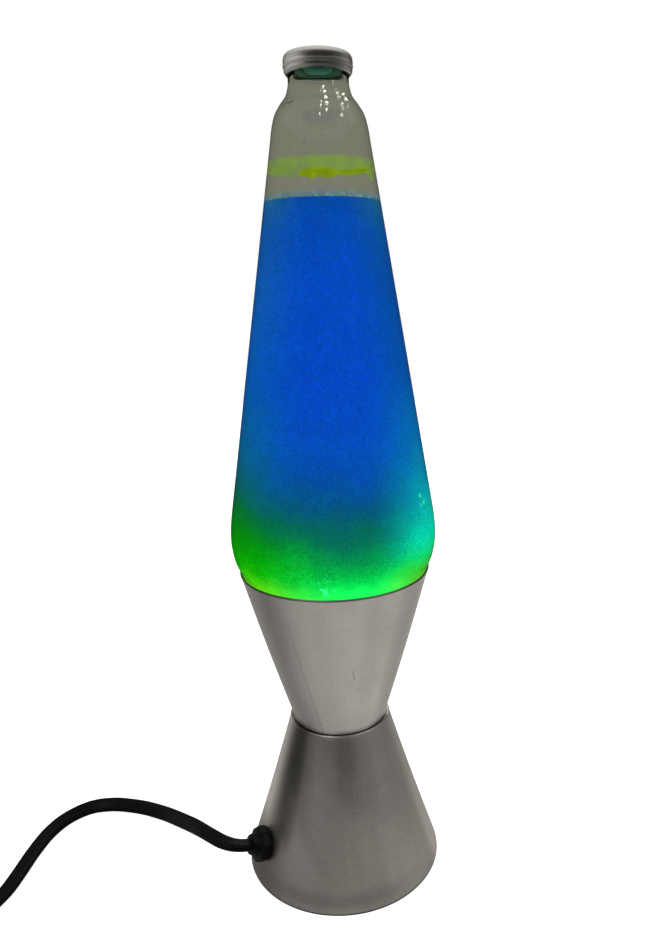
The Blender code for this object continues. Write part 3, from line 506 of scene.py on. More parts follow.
coneLook = {
    "dark": (0.37, 0.352, 0.336, 1), "colour": (0.46, 0.438, 0.42, 1), "light": (0.56, 0.536, 0.516, 1),
    "roughness": 0.40, "metallic": 0.95, "bump": 0.30, "streakDark": 0.86,
    "fadeLow": 12, "fadeHigh": 70, "lowShade": 0.88, "highShade": 0.62,
    # painted reflections and shade: a darker band at the front, dark bands on the left, bright bands at the
    # left and right edges, a darker lower left edge and a darker band near the foot
    "paintedLightBands": [
        {"angle": 8, "wide": 16, "low": 30, "high": 64, "shade": 0.74},
        {"angle": -44, "drift": -0.05, "wide": 31, "low": 26, "high": 56, "shade": 0.42},
        {"angle": -45, "wide": 14, "low": 16, "high": 26, "shade": 0.62},
        {"angle": -36, "wide": 34, "low": -2, "high": -1, "shade": 0.74},
        {"angle": -78, "wide": 25, "low": 20, "high": 32, "shade": 1.75},
        {"angle": -70, "wide": 46, "low": -2, "high": -1, "end": 14, "soft": 12, "shade": 0.52},
        {"angle": 86, "wide": 18, "low": -2, "high": -1, "shade": 1.38},
        {"angle": -4, "wide": 74, "low": 2, "high": 5, "end": 6, "soft": 5, "shade": 0.80},
    ],
    "marks": [
        {"side": -14.0, "height": 30, "width": 5.0, "tall": 15.0, "slant": -0.45, "strength": 0.22,
         "colour": (0.15, 0.145, 0.14, 1)},
    ],
}
capLook = {
    "dark": (0.60, 0.59, 0.565, 1), "colour": (0.70, 0.69, 0.66, 1), "light": (0.80, 0.79, 0.76, 1),
    # painted reflections and shade: a dark band over the front of the side, a darker left side and a painted
    # highlight along the bead
    "paintedLightBands": [
        {"angle": 18, "wide": 70, "low": 340, "high": 341, "end": 347.8, "soft": 0.8, "shade": 0.20},
        {"angle": -72, "wide": 62, "low": 340, "high": 341, "end": 348.2, "soft": 0.8, "shade": 0.64},
        {"angle": 18, "wide": 80, "low": 345.6, "high": 345.9, "end": 346.3, "soft": 0.3, "shade": 1.9},
    ],
    "roughness": 0.30, "metallic": 1.0, "bump": 0.12, "streakDark": 0.92,
    "fadeLow": 343, "fadeHigh": 350, "lowShade": 0.9, "highShade": 1.0,
}
cupMetal = spunMetal("cupMetal", cupLook)
coneMetal = spunMetal("coneMetal", coneLook)
capMetal = spunMetal("capMetal", capLook)


def moulded(name, look):  # plastics, rubber, ceramic and board: speckle, soft patches, fine bump
    material, tree, shader = newMaterial(name)
    place = placeOf(tree)
    speck = grainOf(tree, place, look["grain"], 3.0, 0.65)
    patch = grainOf(tree, place, look.get("patch", 60.0), 2.0)
    tone = calc(tree, "ADD", calc(tree, "MULTIPLY", speck, 0.6), calc(tree, "MULTIPLY", patch, 0.4))
    base = colourRamp(tree, tone, [(0.30, look["dark"]), (0.70, look["light"])])
    tree.links.new(base, shader.inputs["Base Color"])
    spread = look.get("roughSpread", 0.08)
    rough = fade(tree, tone, 0.3, 0.7, look["roughness"] - spread, look["roughness"] + spread)
    tree.links.new(rough, shader.inputs["Roughness"])
    shader.inputs["Metallic"].default_value = look.get("metallic", 0.0)
    shader.inputs["Coat Weight"].default_value = look.get("coat", 0.0)
    shader.inputs["Coat Roughness"].default_value = look.get("coatRoughness", 0.1)
    shader.inputs["Specular IOR Level"].default_value = look.get("specular", 0.5)
    bumpFrom(tree, shader, speck, look.get("bump", 0.3), look.get("bumpDeep", 0.05))
    return material


mouldedLooks = {
    "footRubber": {"dark": (0.012, 0.012, 0.012, 1), "light": (0.035, 0.034, 0.033, 1), "roughness": 0.75,
                   "grain": 900.0, "bump": 0.5},
    "glandPlastic": {"dark": (0.001, 0.001, 0.0005, 1), "light": (0.004, 0.004, 0.003, 1), "roughness": 0.45,
                     "grain": 1500.0, "bump": 0.25, "specular": 0.07},
    "cordVinyl": {"dark": (0.001, 0.001, 0.0008, 1), "light": (0.003, 0.003, 0.0022, 1), "roughness": 0.48,
                  "grain": 1300.0, "bump": 0.25, "specular": 0.05},
    "switchPlastic": {"dark": (0.008, 0.008, 0.008, 1), "light": (0.024, 0.023, 0.022, 1), "roughness": 0.48,
                      "grain": 2400.0, "bump": 0.45},
    "rockerPlastic": {"dark": (0.010, 0.010, 0.010, 1), "light": (0.020, 0.020, 0.020, 1), "roughness": 0.26,
                      "grain": 1800.0, "bump": 0.12},
    "plugVinyl": {"dark": (0.006, 0.006, 0.006, 1), "light": (0.018, 0.018, 0.017, 1), "roughness": 0.46,
                  "grain": 1900.0, "bump": 0.35},
    "baseBoard": {"dark": (0.07, 0.068, 0.062, 1), "light": (0.16, 0.155, 0.145, 1), "roughness": 0.85,
                  "grain": 700.0, "bump": 0.7},
    "zincSteel": {"dark": (0.42, 0.42, 0.43, 1), "light": (0.66, 0.66, 0.67, 1), "roughness": 0.34,
                  "grain": 1200.0, "bump": 0.2, "metallic": 1.0},
    "wornBrass": {"dark": (0.50, 0.34, 0.13, 1), "light": (0.80, 0.61, 0.30, 1), "roughness": 0.32,
                  "grain": 900.0, "bump": 0.2, "metallic": 1.0},
    "glazedCeramic": {"dark": (0.66, 0.63, 0.56, 1), "light": (0.84, 0.82, 0.77, 1), "roughness": 0.30,
                      "grain": 500.0, "bump": 0.15, "coat": 0.6, "coatRoughness": 0.08},
    "blackLead": {"dark": (0.01, 0.01, 0.01, 1), "light": (0.03, 0.03, 0.03, 1), "roughness": 0.5,
                  "grain": 1500.0, "bump": 0.2},
    "whiteLead": {"dark": (0.62, 0.61, 0.57, 1), "light": (0.82, 0.81, 0.78, 1), "roughness": 0.5,
                  "grain": 1500.0, "bump": 0.2},
    # painted reflected light: the stopper's face and skirt take the green of the liquid's light seen under
    # the cap
    "stopperFacePaintedLight": {"dark": fromDisplay(0, 140, 84), "light": fromDisplay(0, 172, 140), "roughness": 0.45,
                       "grain": 700.0, "bump": 0.1},
    "stopperSkirtPaintedLight": {"dark": fromDisplay(10, 112, 50), "light": fromDisplay(34, 140, 70), "roughness": 0.5,
                     "grain": 900.0, "bump": 0.1},
}
finishes = {name: moulded(name, look) for name, look in mouldedLooks.items()}


def clearGlass(name, tint, ripple=0.03, marks=()):
    material, tree, shader = newMaterial(name)
    place = placeOf(tree)
    shader.inputs["Transmission Weight"].default_value = 1.0
    shader.inputs["IOR"].default_value = 1.46
    seeds = grainOf(tree, place, 420.0, 1.0)
    colour = mixColour(tree, fade(tree, seeds, 0.60, 0.85), tint, (0.80, 0.84, 0.78, 1))
    _, _, z = splitPlace(tree, place)
    for mark in marks:  # a lip tinted green with painted reflected light of the liquid, a mould line and small seeds
        away = farFrom(tree, place, mark["centre"])
        near = fade(tree, away, 0.7 * mark["reach"] * mm, mark["reach"] * mm, 1.0, 0.0)
        level = calc(tree, "ABSOLUTE", calc(tree, "SUBTRACT", z, mark["centre"][2] * mm))
        level = fade(tree, level, 0.3 * mark["tall"] * mm, mark["tall"] * mm, 1.0, 0.0)
        colour = mixColour(tree, calc(tree, "MULTIPLY", near, level), colour, mark["colour"])
    tree.links.new(colour, shader.inputs["Base Color"])
    shader.inputs["Roughness"].default_value = 0.0
    bumpFrom(tree, shader, grainOf(tree, place, 28.0, 1.0), ripple, 0.2)
    return material


glassMarks = [  # centre and reach in mm, half height in mm, colour
    # painted reflected light: the lip's green stands in for the liquid's light seen there
    {"centre": (0, 0, 348.0), "reach": 18.0, "tall": 7.4, "colour": (0.12, 0.44, 0.17, 1)},
    {"centre": (-11.5, -11.1, 330.6), "reach": 4.2, "tall": 0.45, "colour": (0.40, 0.42, 0.36, 1)},
    {"centre": (-17.4, -5.9, 325.0), "reach": 0.5, "tall": 0.5, "colour": (0.30, 0.32, 0.28, 1)},
    {"centre": (-18.0, -6.6, 322.6), "reach": 0.45, "tall": 0.45, "colour": (0.30, 0.32, 0.28, 1)},
    {"centre": (-16.6, -8.6, 323.9), "reach": 0.4, "tall": 0.4, "colour": (0.34, 0.36, 0.32, 1)},
]
finishes["globeGlass"] = clearGlass("globeGlass", (0.97, 0.985, 0.96, 1), marks=glassMarks)
finishes["bulbGlass"] = clearGlass("bulbGlass", (0.96, 0.95, 0.92, 1))


liquidLook = {
    # colours of the liquid's painted glow
    "centreLine": [  # height in mm and colour at the front, from the rim up
        (145, (30, 240, 98)), (149, (10, 228, 92)), (152, (0, 208, 82)), (157, (0, 176, 72)),
        (163, (0, 142, 72)), (169, (0, 112, 84)), (175, (0, 99, 94)), (181, (0, 84, 120)),
        (193, (0, 76, 163)), (207, (0, 74, 179)), (230, (0, 69, 182)), (262, (0, 71, 180)),
        (284, (0, 71, 171)), (296, (0, 70, 158)),
    ],
    "leftLine": [
        (145, (100, 218, 16)), (149, (64, 198, 6)), (153, (10, 176, 0)), (160, (0, 156, 0)),
        (168, (0, 132, 8)), (176, (0, 112, 46)), (186, (4, 98, 104)), (200, (4, 98, 142)),
        (230, (2, 88, 170)), (262, (14, 88, 166)), (284, (14, 84, 158)), (296, (30, 96, 136)),
    ],
    "rightLine": [
        (145, (110, 204, 24)), (150, (62, 192, 38)), (156, (14, 206, 112)), (164, (0, 206, 174)),
        (174, (2, 172, 172)), (186, (1, 142, 170)), (200, (1, 112, 166)), (230, (0, 80, 158)),
        (262, (2, 74, 150)), (284, (4, 78, 146)), (296, (24, 92, 128)),
    ],
    "bottom": 145, "top": 297,
    "glow": 0.86,
    "grain": 0.42,
    "colourSpeck": 0.35,
    # painted highlights: small bright spots of light on the liquid, x, y, z and size in mm
    "paintedLightSpots": [(-1.0, -42.0, 150.0, 5.5), (39.0, -17.5, 176.0, 4.0), (36.0, -18.0, 180.0, 2.5)],
    "paintedLightSpotColour": fromDisplay(60, 245, 170),
}


def glowingLiquid(name, look):  # blue water over molten wax, cloudy with fine drops; the bulb's light from below is painted into its colours and glow
    material, tree, shader = newMaterial(name)
    place = placeOf(tree)
    x, _, z = splitPlace(tree, place)
    drift = grainOf(tree, place, 42.0, 3.0)
    cloud = grainOf(tree, place, 140.0, 4.0)
    wander = calc(tree, "MULTIPLY", calc(tree, "SUBTRACT", drift, 0.5), 0.016)
    level = calc(tree, "ADD", z, wander)
    reach = look["top"] - look["bottom"]
    share = fade(tree, level, look["bottom"] * mm, look["top"] * mm)
    tree.nodes[-1].interpolation_type = "LINEAR"
    lines = []
    for key in ("centreLine", "leftLine", "rightLine"):
        stops = [((h - look["bottom"]) / reach, fromDisplay(*colour)) for h, colour in look[key]]
        lines.append(colourRamp(tree, share, stops))
    radius = fade(tree, z, 184.5 * mm, 318.5 * mm, 44.0 * mm, 19.6 * mm)
    tree.nodes[-1].interpolation_type = "LINEAR"
    side = calc(tree, "DIVIDE", x, radius)
    mound = fade(tree, z, 184 * mm, 158 * mm, 0.0, 0.28)  # the wax stands higher on the left
    leftShare = fade(tree, calc(tree, "SUBTRACT", side, mound), -0.10, -0.98)
    rightShare = fade(tree, side, 0.36, 1.0)
    base = mixColour(tree, leftShare, lines[0], lines[1])
    base = mixColour(tree, rightShare, base, lines[2])
    fine = grainOf(tree, place, 1500.0, 2.0, 0.8)
    mottle = fade(tree, fine, 0.25, 0.75, 1.0 - look["grain"], 1.0 + look["grain"])
    soft = fade(tree, cloud, 0.2, 0.8, 0.92, 1.08)
    light = calc(tree, "MULTIPLY", mottle, soft)
    for *spot, size in look["paintedLightSpots"]:  # painted highlights: small bright spots of light on the liquid
        near = fade(tree, farFrom(tree, place, spot), 0.2 * size * mm, size * mm, 1.0, 0.0)
        lightSpotBreakup = fade(tree, grainOf(tree, place, 380.0, 3.0), 0.50, 0.58)
        there = calc(tree, "MULTIPLY", calc(tree, "MULTIPLY", near, lightSpotBreakup), 0.75)
        base = mixColour(tree, there, base, look["paintedLightSpotColour"])
    speck = addNode(
        tree, "ShaderNodeTexNoise", {"Vector": place, "Scale": 1300.0, "Detail": 1.0, "Roughness": 0.6},
    ).outputs["Color"]
    doubled = mixColour(tree, 1.0, speck, speck, "ADD")
    speckled = mixColour(tree, 1.0, base, doubled, "MULTIPLY")
    base = mixColour(tree, look["colourSpeck"], base, speckled)
    tree.links.new(base, shader.inputs["Base Color"])
    tree.links.new(base, shader.inputs["Emission Color"])
    # painted light: the liquid glows by itself in these colours
    strength = calc(tree, "MULTIPLY", light, look["glow"])
    tree.links.new(strength, shader.inputs["Emission Strength"])
    shader.inputs["Roughness"].default_value = 0.55
    shader.inputs["Specular IOR Level"].default_value = 0.1
    return material


finishes["blueLiquid"] = glowingLiquid("blueLiquid", liquidLook)


def waxFilm(name, look):  # a thin see-through smear of wax on the inside of the glass, glowing with painted light
    material, tree, shader = newMaterial(name)
    place = placeOf(tree)
    cloud = grainOf(tree, place, look["cloud"], 4.0, 0.6)
    fine = grainOf(tree, place, 1600.0, 2.0)
    colour = colourRamp(tree, cloud, [(0.30, look["dark"]), (0.70, look["light"])])
    tree.links.new(colour, shader.inputs["Base Color"])
    tree.links.new(colour, shader.inputs["Emission Color"])
    shader.inputs["Emission Strength"].default_value = look["glow"]
    shader.inputs["Roughness"].default_value = 0.6
    patchy = calc(tree, "ADD", calc(tree, "MULTIPLY", cloud, 0.8), calc(tree, "MULTIPLY", fine, 0.2))
    opacity = fade(tree, patchy, 0.25, 0.70, look["thin"], look["thick"])
    if "topFade" in look:  # it thins out upwards
        _, _, z = splitPlace(tree, place)
        low, high = look["topFade"]
        opacity = calc(tree, "MULTIPLY", opacity, fade(tree, z, low * mm, high * mm, 1.0, 0.12))
    tree.links.new(opacity, shader.inputs["Alpha"])
    return material


waxFilmLooks = {
    "paleWaxFilm": {"dark": fromDisplay(112, 150, 20), "light": fromDisplay(132, 170, 36), "cloud": 130.0,
                    "thin": 0.16, "thick": 0.50, "glow": 0.72, "topFade": (309.8, 312.0)},
    "thickWaxFilm": {"dark": fromDisplay(120, 146, 0), "light": fromDisplay(146, 172, 0), "cloud": 220.0,
                     "thin": 0.80, "thick": 1.0, "glow": 0.58},
    "waterFoam": {"dark": fromDisplay(62, 122, 136), "light": fromDisplay(140, 172, 168), "cloud": 420.0,
                  "thin": 0.30, "thick": 0.80, "glow": 0.50, "topFade": (297.2, 299.4)},
}
for filmName, filmLook in waxFilmLooks.items():
    finishes[filmName] = waxFilm(filmName, filmLook)
print("stage: finishes made")


# base: lower cone, foot ring, plate

baseShape = {
    "footRadius": 44.9, "footRingHigh": 1.4, "footRingWide": 3.2,
    "waistRadius": 22.8, "waistHeight": 72.7, "wall": 0.9, "beadRound": 0.66,
    "holderHole": 14.9,
}


def coneRadius(z):
    share = (z - 1.7) / (baseShape["waistHeight"] - 1.7)
    drawnIn = 0.4 * math.sin(math.pi * share)
    foot, waist = baseShape["footRadius"], baseShape["waistRadius"]
    return foot - 0.2 + (waist - foot) * share - drawnIn


def arcPoints(r, z, radius, start, end, steps):
    turns = [math.radians(start + (end - start) * i / steps) for i in range(steps + 1)]
    return [(r + radius * math.cos(a), z + radius * math.sin(a)) for a in turns]


def makeBase(shape):
    foot, high, top = shape["footRadius"], shape["footRingHigh"], shape["waistHeight"]
    inside, hole = foot - shape["footRingWide"], shape["holderHole"]
    ring = [
        (foot - 1.2, high), (inside, high), (inside, 0), (foot - 0.2, 0), (foot, 0.5), (foot - 1.2, 0.5),
    ]
    ring = softened(ring, 0.1)
    turned("footRingTrim", ring, finishes["footRubber"], "root", ["foot_ring"])
    outer = [(coneRadius(z), z) for z in [1.7 + (71.5 - 1.7) * i / 24 for i in range(25)]]
    edge = outer[0][0]
    lip = [(edge - 0.3, 0.6), (edge + 0.06, 0.75), (edge + 0.1, 1.2), (coneRadius(2.4), 2.4)]
    bead = arcPoints(22.25, 72.25, shape["beadRound"], -25, 120, 10)
    inner = pushedIn(outer, shape["wall"])[::-1]
    profile = [
        *lip, *outer[1:], *bead, (21.2, top), (hole, top), (hole, 71.9), (21.0, 71.9),
        *[point for point in inner if 3 < point[1] < 70], (edge - 0.9, 1.9), (edge - 0.7, 0.7),
    ]
    turned("lowerCone", profile, coneMetal, "root", ["lower_cone"], 192)


plateShape = {
    "profile": [(42, 2.3), (42, 3.5), (22, 3.5), (17, 9.2), (5.3, 9.2), (5.3, 8.0), (16, 8.0), (21, 2.3)],
    "ventCount": 6, "ventCircle": 35.0, "ventRadius": 3.2,
}


def vented(obj, shape):  # round vents through the base plate, cut in one go
    bm = bmesh.new()
    circle, radius = shape["ventCircle"] * mm, shape["ventRadius"] * mm
    for i in range(shape["ventCount"]):
        angle = 2 * math.pi * (i + 0.5) / shape["ventCount"]
        spot = Matrix.Translation((circle * math.cos(angle), circle * math.sin(angle), 2.9 * mm))
        bmesh.ops.create_cone(
            bm, cap_ends=True, segments=28, radius1=radius, radius2=radius, depth=6 * mm, matrix=spot,
        )
    mesh = bpy.data.meshes.new("ventTool")
    bm.to_mesh(mesh)
    bm.free()
    tool = bpy.data.objects.new("ventTool", mesh)
    bpy.context.scene.collection.objects.link(tool)
    cutAway(obj, tool)


def cutAway(obj, tool):  # the result is kept in the mesh and the tool is removed
    made = obj.modifiers.new("cut", "BOOLEAN")
    made.operation = "DIFFERENCE"
    made.solver = "EXACT"
    made.object = tool
    bpy.context.view_layer.update()
    graph = bpy.context.evaluated_depsgraph_get()
    result = bpy.data.meshes.new_from_object(obj.evaluated_get(graph))
    obj.modifiers.clear()
    obj.data = result
    bpy.data.objects.remove(tool, do_unlink=True)


makeBase(baseShape)
plateProfile = softened(plateShape["profile"], 0.5)
plate = turned("basePlate", plateProfile, finishes["baseBoard"], "root", ["base_plate"])
vented(plate, plateShape)
print("stage: base")


# gland where the cord leaves the cone

glandShape = {
    "azimuth": -150,  # degrees round from +X
    "height": 17.0,
    "across": 15.2, "head": 4.4, "nose": 3.2,
}


def glandPlace(shape):
    slope = math.atan2(coneRadius(shape["height"] - 5) - coneRadius(shape["height"] + 5), 10)
    radius = coneRadius(shape["height"]) * mm
    angle = math.radians(shape["azimuth"])
    spot = Matrix.Translation((radius * math.cos(angle), radius * math.sin(angle), shape["height"] * mm))
    return spot @ Matrix.Rotation(angle, 4, "Z") @ Matrix.Rotation(math.pi / 2 - slope, 4, "Y")


def octagonRing(across, z, roundness, count=64):  # roundness 0 is an octagon, 1 a circle
    points = []
    for i in range(count):
        angle = 2 * math.pi * i / count
        fold = (angle + math.pi / 8) % (math.pi / 4) - math.pi / 8
        flat = across / 2 / math.cos(fold)
        if abs(abs(fold) - math.pi / 8) < 0.06:  # the corners are a little blunt
            flat *= 0.985
        radius = (1 - roundness) * flat + roundness * across / 2
        points.append((radius * mm * math.cos(angle), radius * mm * math.sin(angle), z * mm))
    return points


def makeGland(shape):
    base, across = 0.6, shape["across"]
    top = base + shape["head"]
    end = top + shape["nose"]
    steps = [  # size across, height and roundness of each ring, from the inside out
        (10.4, -10.0, 1.0), (10.4, base - 0.1, 1.0), (across - 1.4, base - 0.05, 0.0),
        (across - 1.0, base + 0.2, 0.0), (across - 1.0, base + 0.9, 0.0), (across - 0.6, base + 1.2, 0.0),
        (across - 0.6, top - 1.0, 0.0), (across - 1.1, top - 0.4, 0.0), (across - 2.2, top - 0.05, 0.05),
        (across - 3.4, top, 0.2), (10.4, top, 1.0), (10.0, top + 0.25, 1.0),
        (8.8, end - 0.6, 1.0), (8.3, end - 0.1, 1.0), (7.6, end, 1.0),
    ]
    rings = [octagonRing(*step) for step in steps]
    loft(
        "cordGland", rings, finishes["glandPlastic"], "root", ["gland_body"], 30,
        glandPlace(shape),
    )


makeGland(glandShape)
print("stage: gland")


# upper cup

cupShape = {
    "bottomRadius": 21.2, "bottomHeight": 73.6, "topRadius": 41.5, "topHeight": 144.4,
    "swell": 0.4,  # how far the side bows out
    "wall": 0.8, "rimRound": 0.48, "floorTop": 74.4, "floorBottom": 73.0,
}


def cupRadius(z, shape):
    share = (z - shape["bottomHeight"]) / (shape["topHeight"] - shape["bottomHeight"])
    spread = (shape["topRadius"] - shape["bottomRadius"]) * share
    return shape["bottomRadius"] + spread + shape["swell"] * math.sin(math.pi * share)


def makeCup(shape):
    heights = [74.1 + (142.9 - 74.1) * i / 24 for i in range(25)]
    outer = [(cupRadius(z, shape), z) for z in heights]
    inner = pushedIn(outer, shape["wall"])[::-1]
    rim = arcPoints(41.05, 144.0, shape["rimRound"], -10, 180, 10)
    floor, under, hole = shape["floorTop"], shape["floorBottom"], baseShape["holderHole"]
    profile = [
        (20.2, under), (21.0, under + 0.02), (outer[0][0] - 0.06, under + 0.2), *outer, *rim,
        *[point for point in inner if 77 < point[1] < 142.5], (20.8, floor), (hole, floor), (hole, under),
    ]
    turned("upperCup", profile, cupMetal, "root", ["upper_cup"], 192)


makeCup(cupShape)
print("stage: cup")


# lampholder and bulb, seen when the globe is lifted off

holderShape = {
    "body": [
        (0, 48.5), (5.1, 48.5), (5.1, 44.0), (12.5, 44.0), (14.5, 47.0), (14.5, 74.7), (18, 74.7),
        (18, 76.5), (12.6, 76.5), (12.2, 80.0), (9.8, 80.0), (9.8, 53.0), (0, 53.0),
    ],
    "ring": [(18.6, 66.0), (18.6, 70.5), (14.8, 70.5), (14.8, 66.0)],
    "clampWasher": [(19.5, 70.8), (19.5, 71.6), (14.8, 71.6), (14.8, 70.8)],
    "baseWasher": [(10, 7.0), (10, 7.7), (5.2, 7.7), (5.2, 7.0)],
    "shellBottom": 57.0, "shellLong": 21.0, "shellRadius": 9.35, "shellPitch": 3.0,
    "rodBottom": 2.2, "rodLong": 46.0, "rodRadius": 4.78, "rodBore": 3.9, "rodPitch": 1.0,
}


def makeHolder(shape):
    steel = finishes["zincSteel"]
    turned(
        "lampholderBody", softened(shape["body"], 0.5, closed=False), finishes["glazedCeramic"], "root",
        ["lampholder_body"], 96,
    )
    turned(
        "lampholderRing", softened(shape["ring"], 0.6), finishes["glazedCeramic"], "root",
        ["lampholder_ring"], 96,
    )
    turned("clampWasher", softened(shape["clampWasher"], 0.2), steel, "root", ["clamp_washer"], 96)
    start, long = shape["shellBottom"], shape["shellLong"]
    shell = [(shape["shellRadius"] - 0.4, start)]
    for i in range(43):
        z = start + long * i / 42
        wave = math.cos(2 * math.pi * (z - start) / shape["shellPitch"])
        shell.append((shape["shellRadius"] + 0.10 * wave, z))
    shell.append((shape["shellRadius"] - 0.4, start + long))
    turned("screwShell", shell, finishes["wornBrass"], "root", ["screw_shell"], 96)
    rod = []
    for i in range(93):
        z = shape["rodBottom"] + shape["rodLong"] * i / 92
        rod.append((shape["rodRadius"] + 0.12 * math.cos(2 * math.pi * z / shape["rodPitch"]), z))
    bore, bottom = shape["rodBore"], shape["rodBottom"]
    rod += [(bore, bottom + shape["rodLong"]), (bore, bottom)]
    turned("tieTube", rod, steel, "root", ["tie_tube"], 64)
    turned("baseWasher", softened(shape["baseWasher"], 0.2), steel, "root", ["base_washer"], 64)


bulbShape = {
    "capBottom": 60.2, "capLong": 14.9, "capRadius": 8.25, "threadDeep": 0.25, "threadPitch": 3.0,
    "insulator": [(0, 58.0), (3.2, 58.0), (6.2, 59.3), (6.2, 61.2), (0, 61.2)],
    "tip": [(0, 56.2), (2.0, 56.4), (2.8, 57.1), (2.8, 57.7), (0, 57.7)],
    "neck": [(7.2, 66), (7.2, 72), (7.2, 77), (8.6, 81), (12.6, 86)],
    "globeHeight": 94, "globeRadius": 17, "wall": 0.8,
}


def makeBulb(shape):
    cap = [(6.6, 59.4), (8.0, 59.75)]
    for i in range(61):
        z = shape["capBottom"] + shape["capLong"] * i / 60
        wave = math.sin(2 * math.pi * (z - 60.5) / shape["threadPitch"] - 1.57)
        cap.append((shape["capRadius"] + shape["threadDeep"] * wave, z))
    cap += [(8.2, 75.5), (8.2, 76.4), (7.7, 76.4), (7.6, 60.4), (6.6, 60.2)]
    turned("bulbCap", cap, finishes["wornBrass"], "bulb", ["bulb_cap"], 96)
    turned(
        "bulbInsulator", softened(shape["insulator"], 0.3, closed=False), finishes["glandPlastic"], "bulb",
        ["bulb_insulator"], 64,
    )
    turned(
        "bulbTip", softened(shape["tip"], 0.3, closed=False), finishes["wornBrass"], "bulb", ["bulb_tip"],
        48,
    )
    crown = shape["globeHeight"] + shape["globeRadius"]
    ball = arcPoints(0, shape["globeHeight"], shape["globeRadius"], -20, 84, 9)
    smooth = [(point.x, point.y) for point in curved([*shape["neck"], *ball, (0.0, crown)], 4)]
    inner = pushedIn(smooth, shape["wall"])
    inner[-1] = (0.0, crown - shape["wall"])
    bulb = [*inner[::-1], *smooth]
    turned("bulbGlass", bulb, finishes["bulbGlass"], "bulb", ["bulb_glass"], 96)


makeHolder(holderShape)
makeBulb(bulbShape)
print("stage: lampholder and bulb")


# globe: glass, liquid, wax residue, stopper and cap

globeShape = {
    "outer": [
        (0, 127.0), (7, 126.8), (14, 126.2), (20, 125.0), (24, 124.2), (28, 124.0), (32.6, 125.6),
        (35.9, 130.0), (38.0, 136.0), (39.4, 141.0), (40.1, 144.2), (41.5, 146.4), (43.1, 150.2),
        (44.15, 155.5), (44.4, 160.5), (43.95, 167.0), (42.75, 175.0), (41.2, 184.5), (37.6, 206.8),
        (34.0, 229.2), (30.4, 251.5), (26.8, 273.8), (23.2, 296.2), (19.6, 318.5), (18.9, 323.0),
        (17.55, 328.0), (15.3, 331.8), (12.95, 335.0), (11.75, 339.0),
    ],
    "lip": [(11.7, 341.0), (11.85, 343.2), (12.0, 346.6), (11.8, 347.2), (11.3, 347.4), (10.2, 347.4)],
    "bore": [(9.8, 347.0), (9.8, 343.0), (9.9, 341.0), (10.05, 339.0)],
    "wall": 1.7,
    "liquidTop": 296.2,
    "skin": 0.6,  # the liquid meets the glass this far in from its outer face
}


def globeProfile():
    return [(max(point.x, 0.0), point.y) for point in curved(globeShape["outer"], 6)]


def radiusAt(z, inset=0.0):
    profile = globeProfile()
    found = 0.0
    for (r0, z0), (r1, z1) in zip(profile, profile[1:]):
        if min(z0, z1) <= z <= max(z0, z1) and z0 != z1:
            found = max(found, r0 + (r1 - r0) * (z - z0) / (z1 - z0))
    return found - inset


def makeGlass(shape):
    outer = globeProfile()
    inner = [(max(r, 0.0), z) for r, z in pushedIn(outer, shape["wall"]) if z < 337]
    inner[0] = (0.0, 127.0 + shape["wall"])
    profile = [*outer, *shape["lip"], *shape["bore"], *inner[::-1]]
    turned(
        "globeGlass", profile, finishes["globeGlass"], "globe", ["glass_globe"], 160,
        sharp=60,
    )


def makeLiquid(shape):
    skin = [(max(r, 0.0), z) for r, z in pushedIn(globeProfile(), shape["skin"])]
    top = shape["liquidTop"]
    body = [point for point in skin if point[1] < top - 1.5]
    body[0] = (0.0, 127.0 + shape["skin"])
    edge = radiusAt(top, shape["skin"])
    meniscus = [
        (edge + 0.1, top - 0.8), (edge, top + 0.3), (edge - 0.6, top + 0.1), (edge - 1.8, top - 0.35),
    ]
    profile = [*body, *meniscus, (edge - 5.0, top - 0.5), (0.0, top - 0.5)]
    turned(
        "blueLiquid", profile, finishes["blueLiquid"], "globe", ["liquid", "wax"], 160,
        sharp=70,
    )


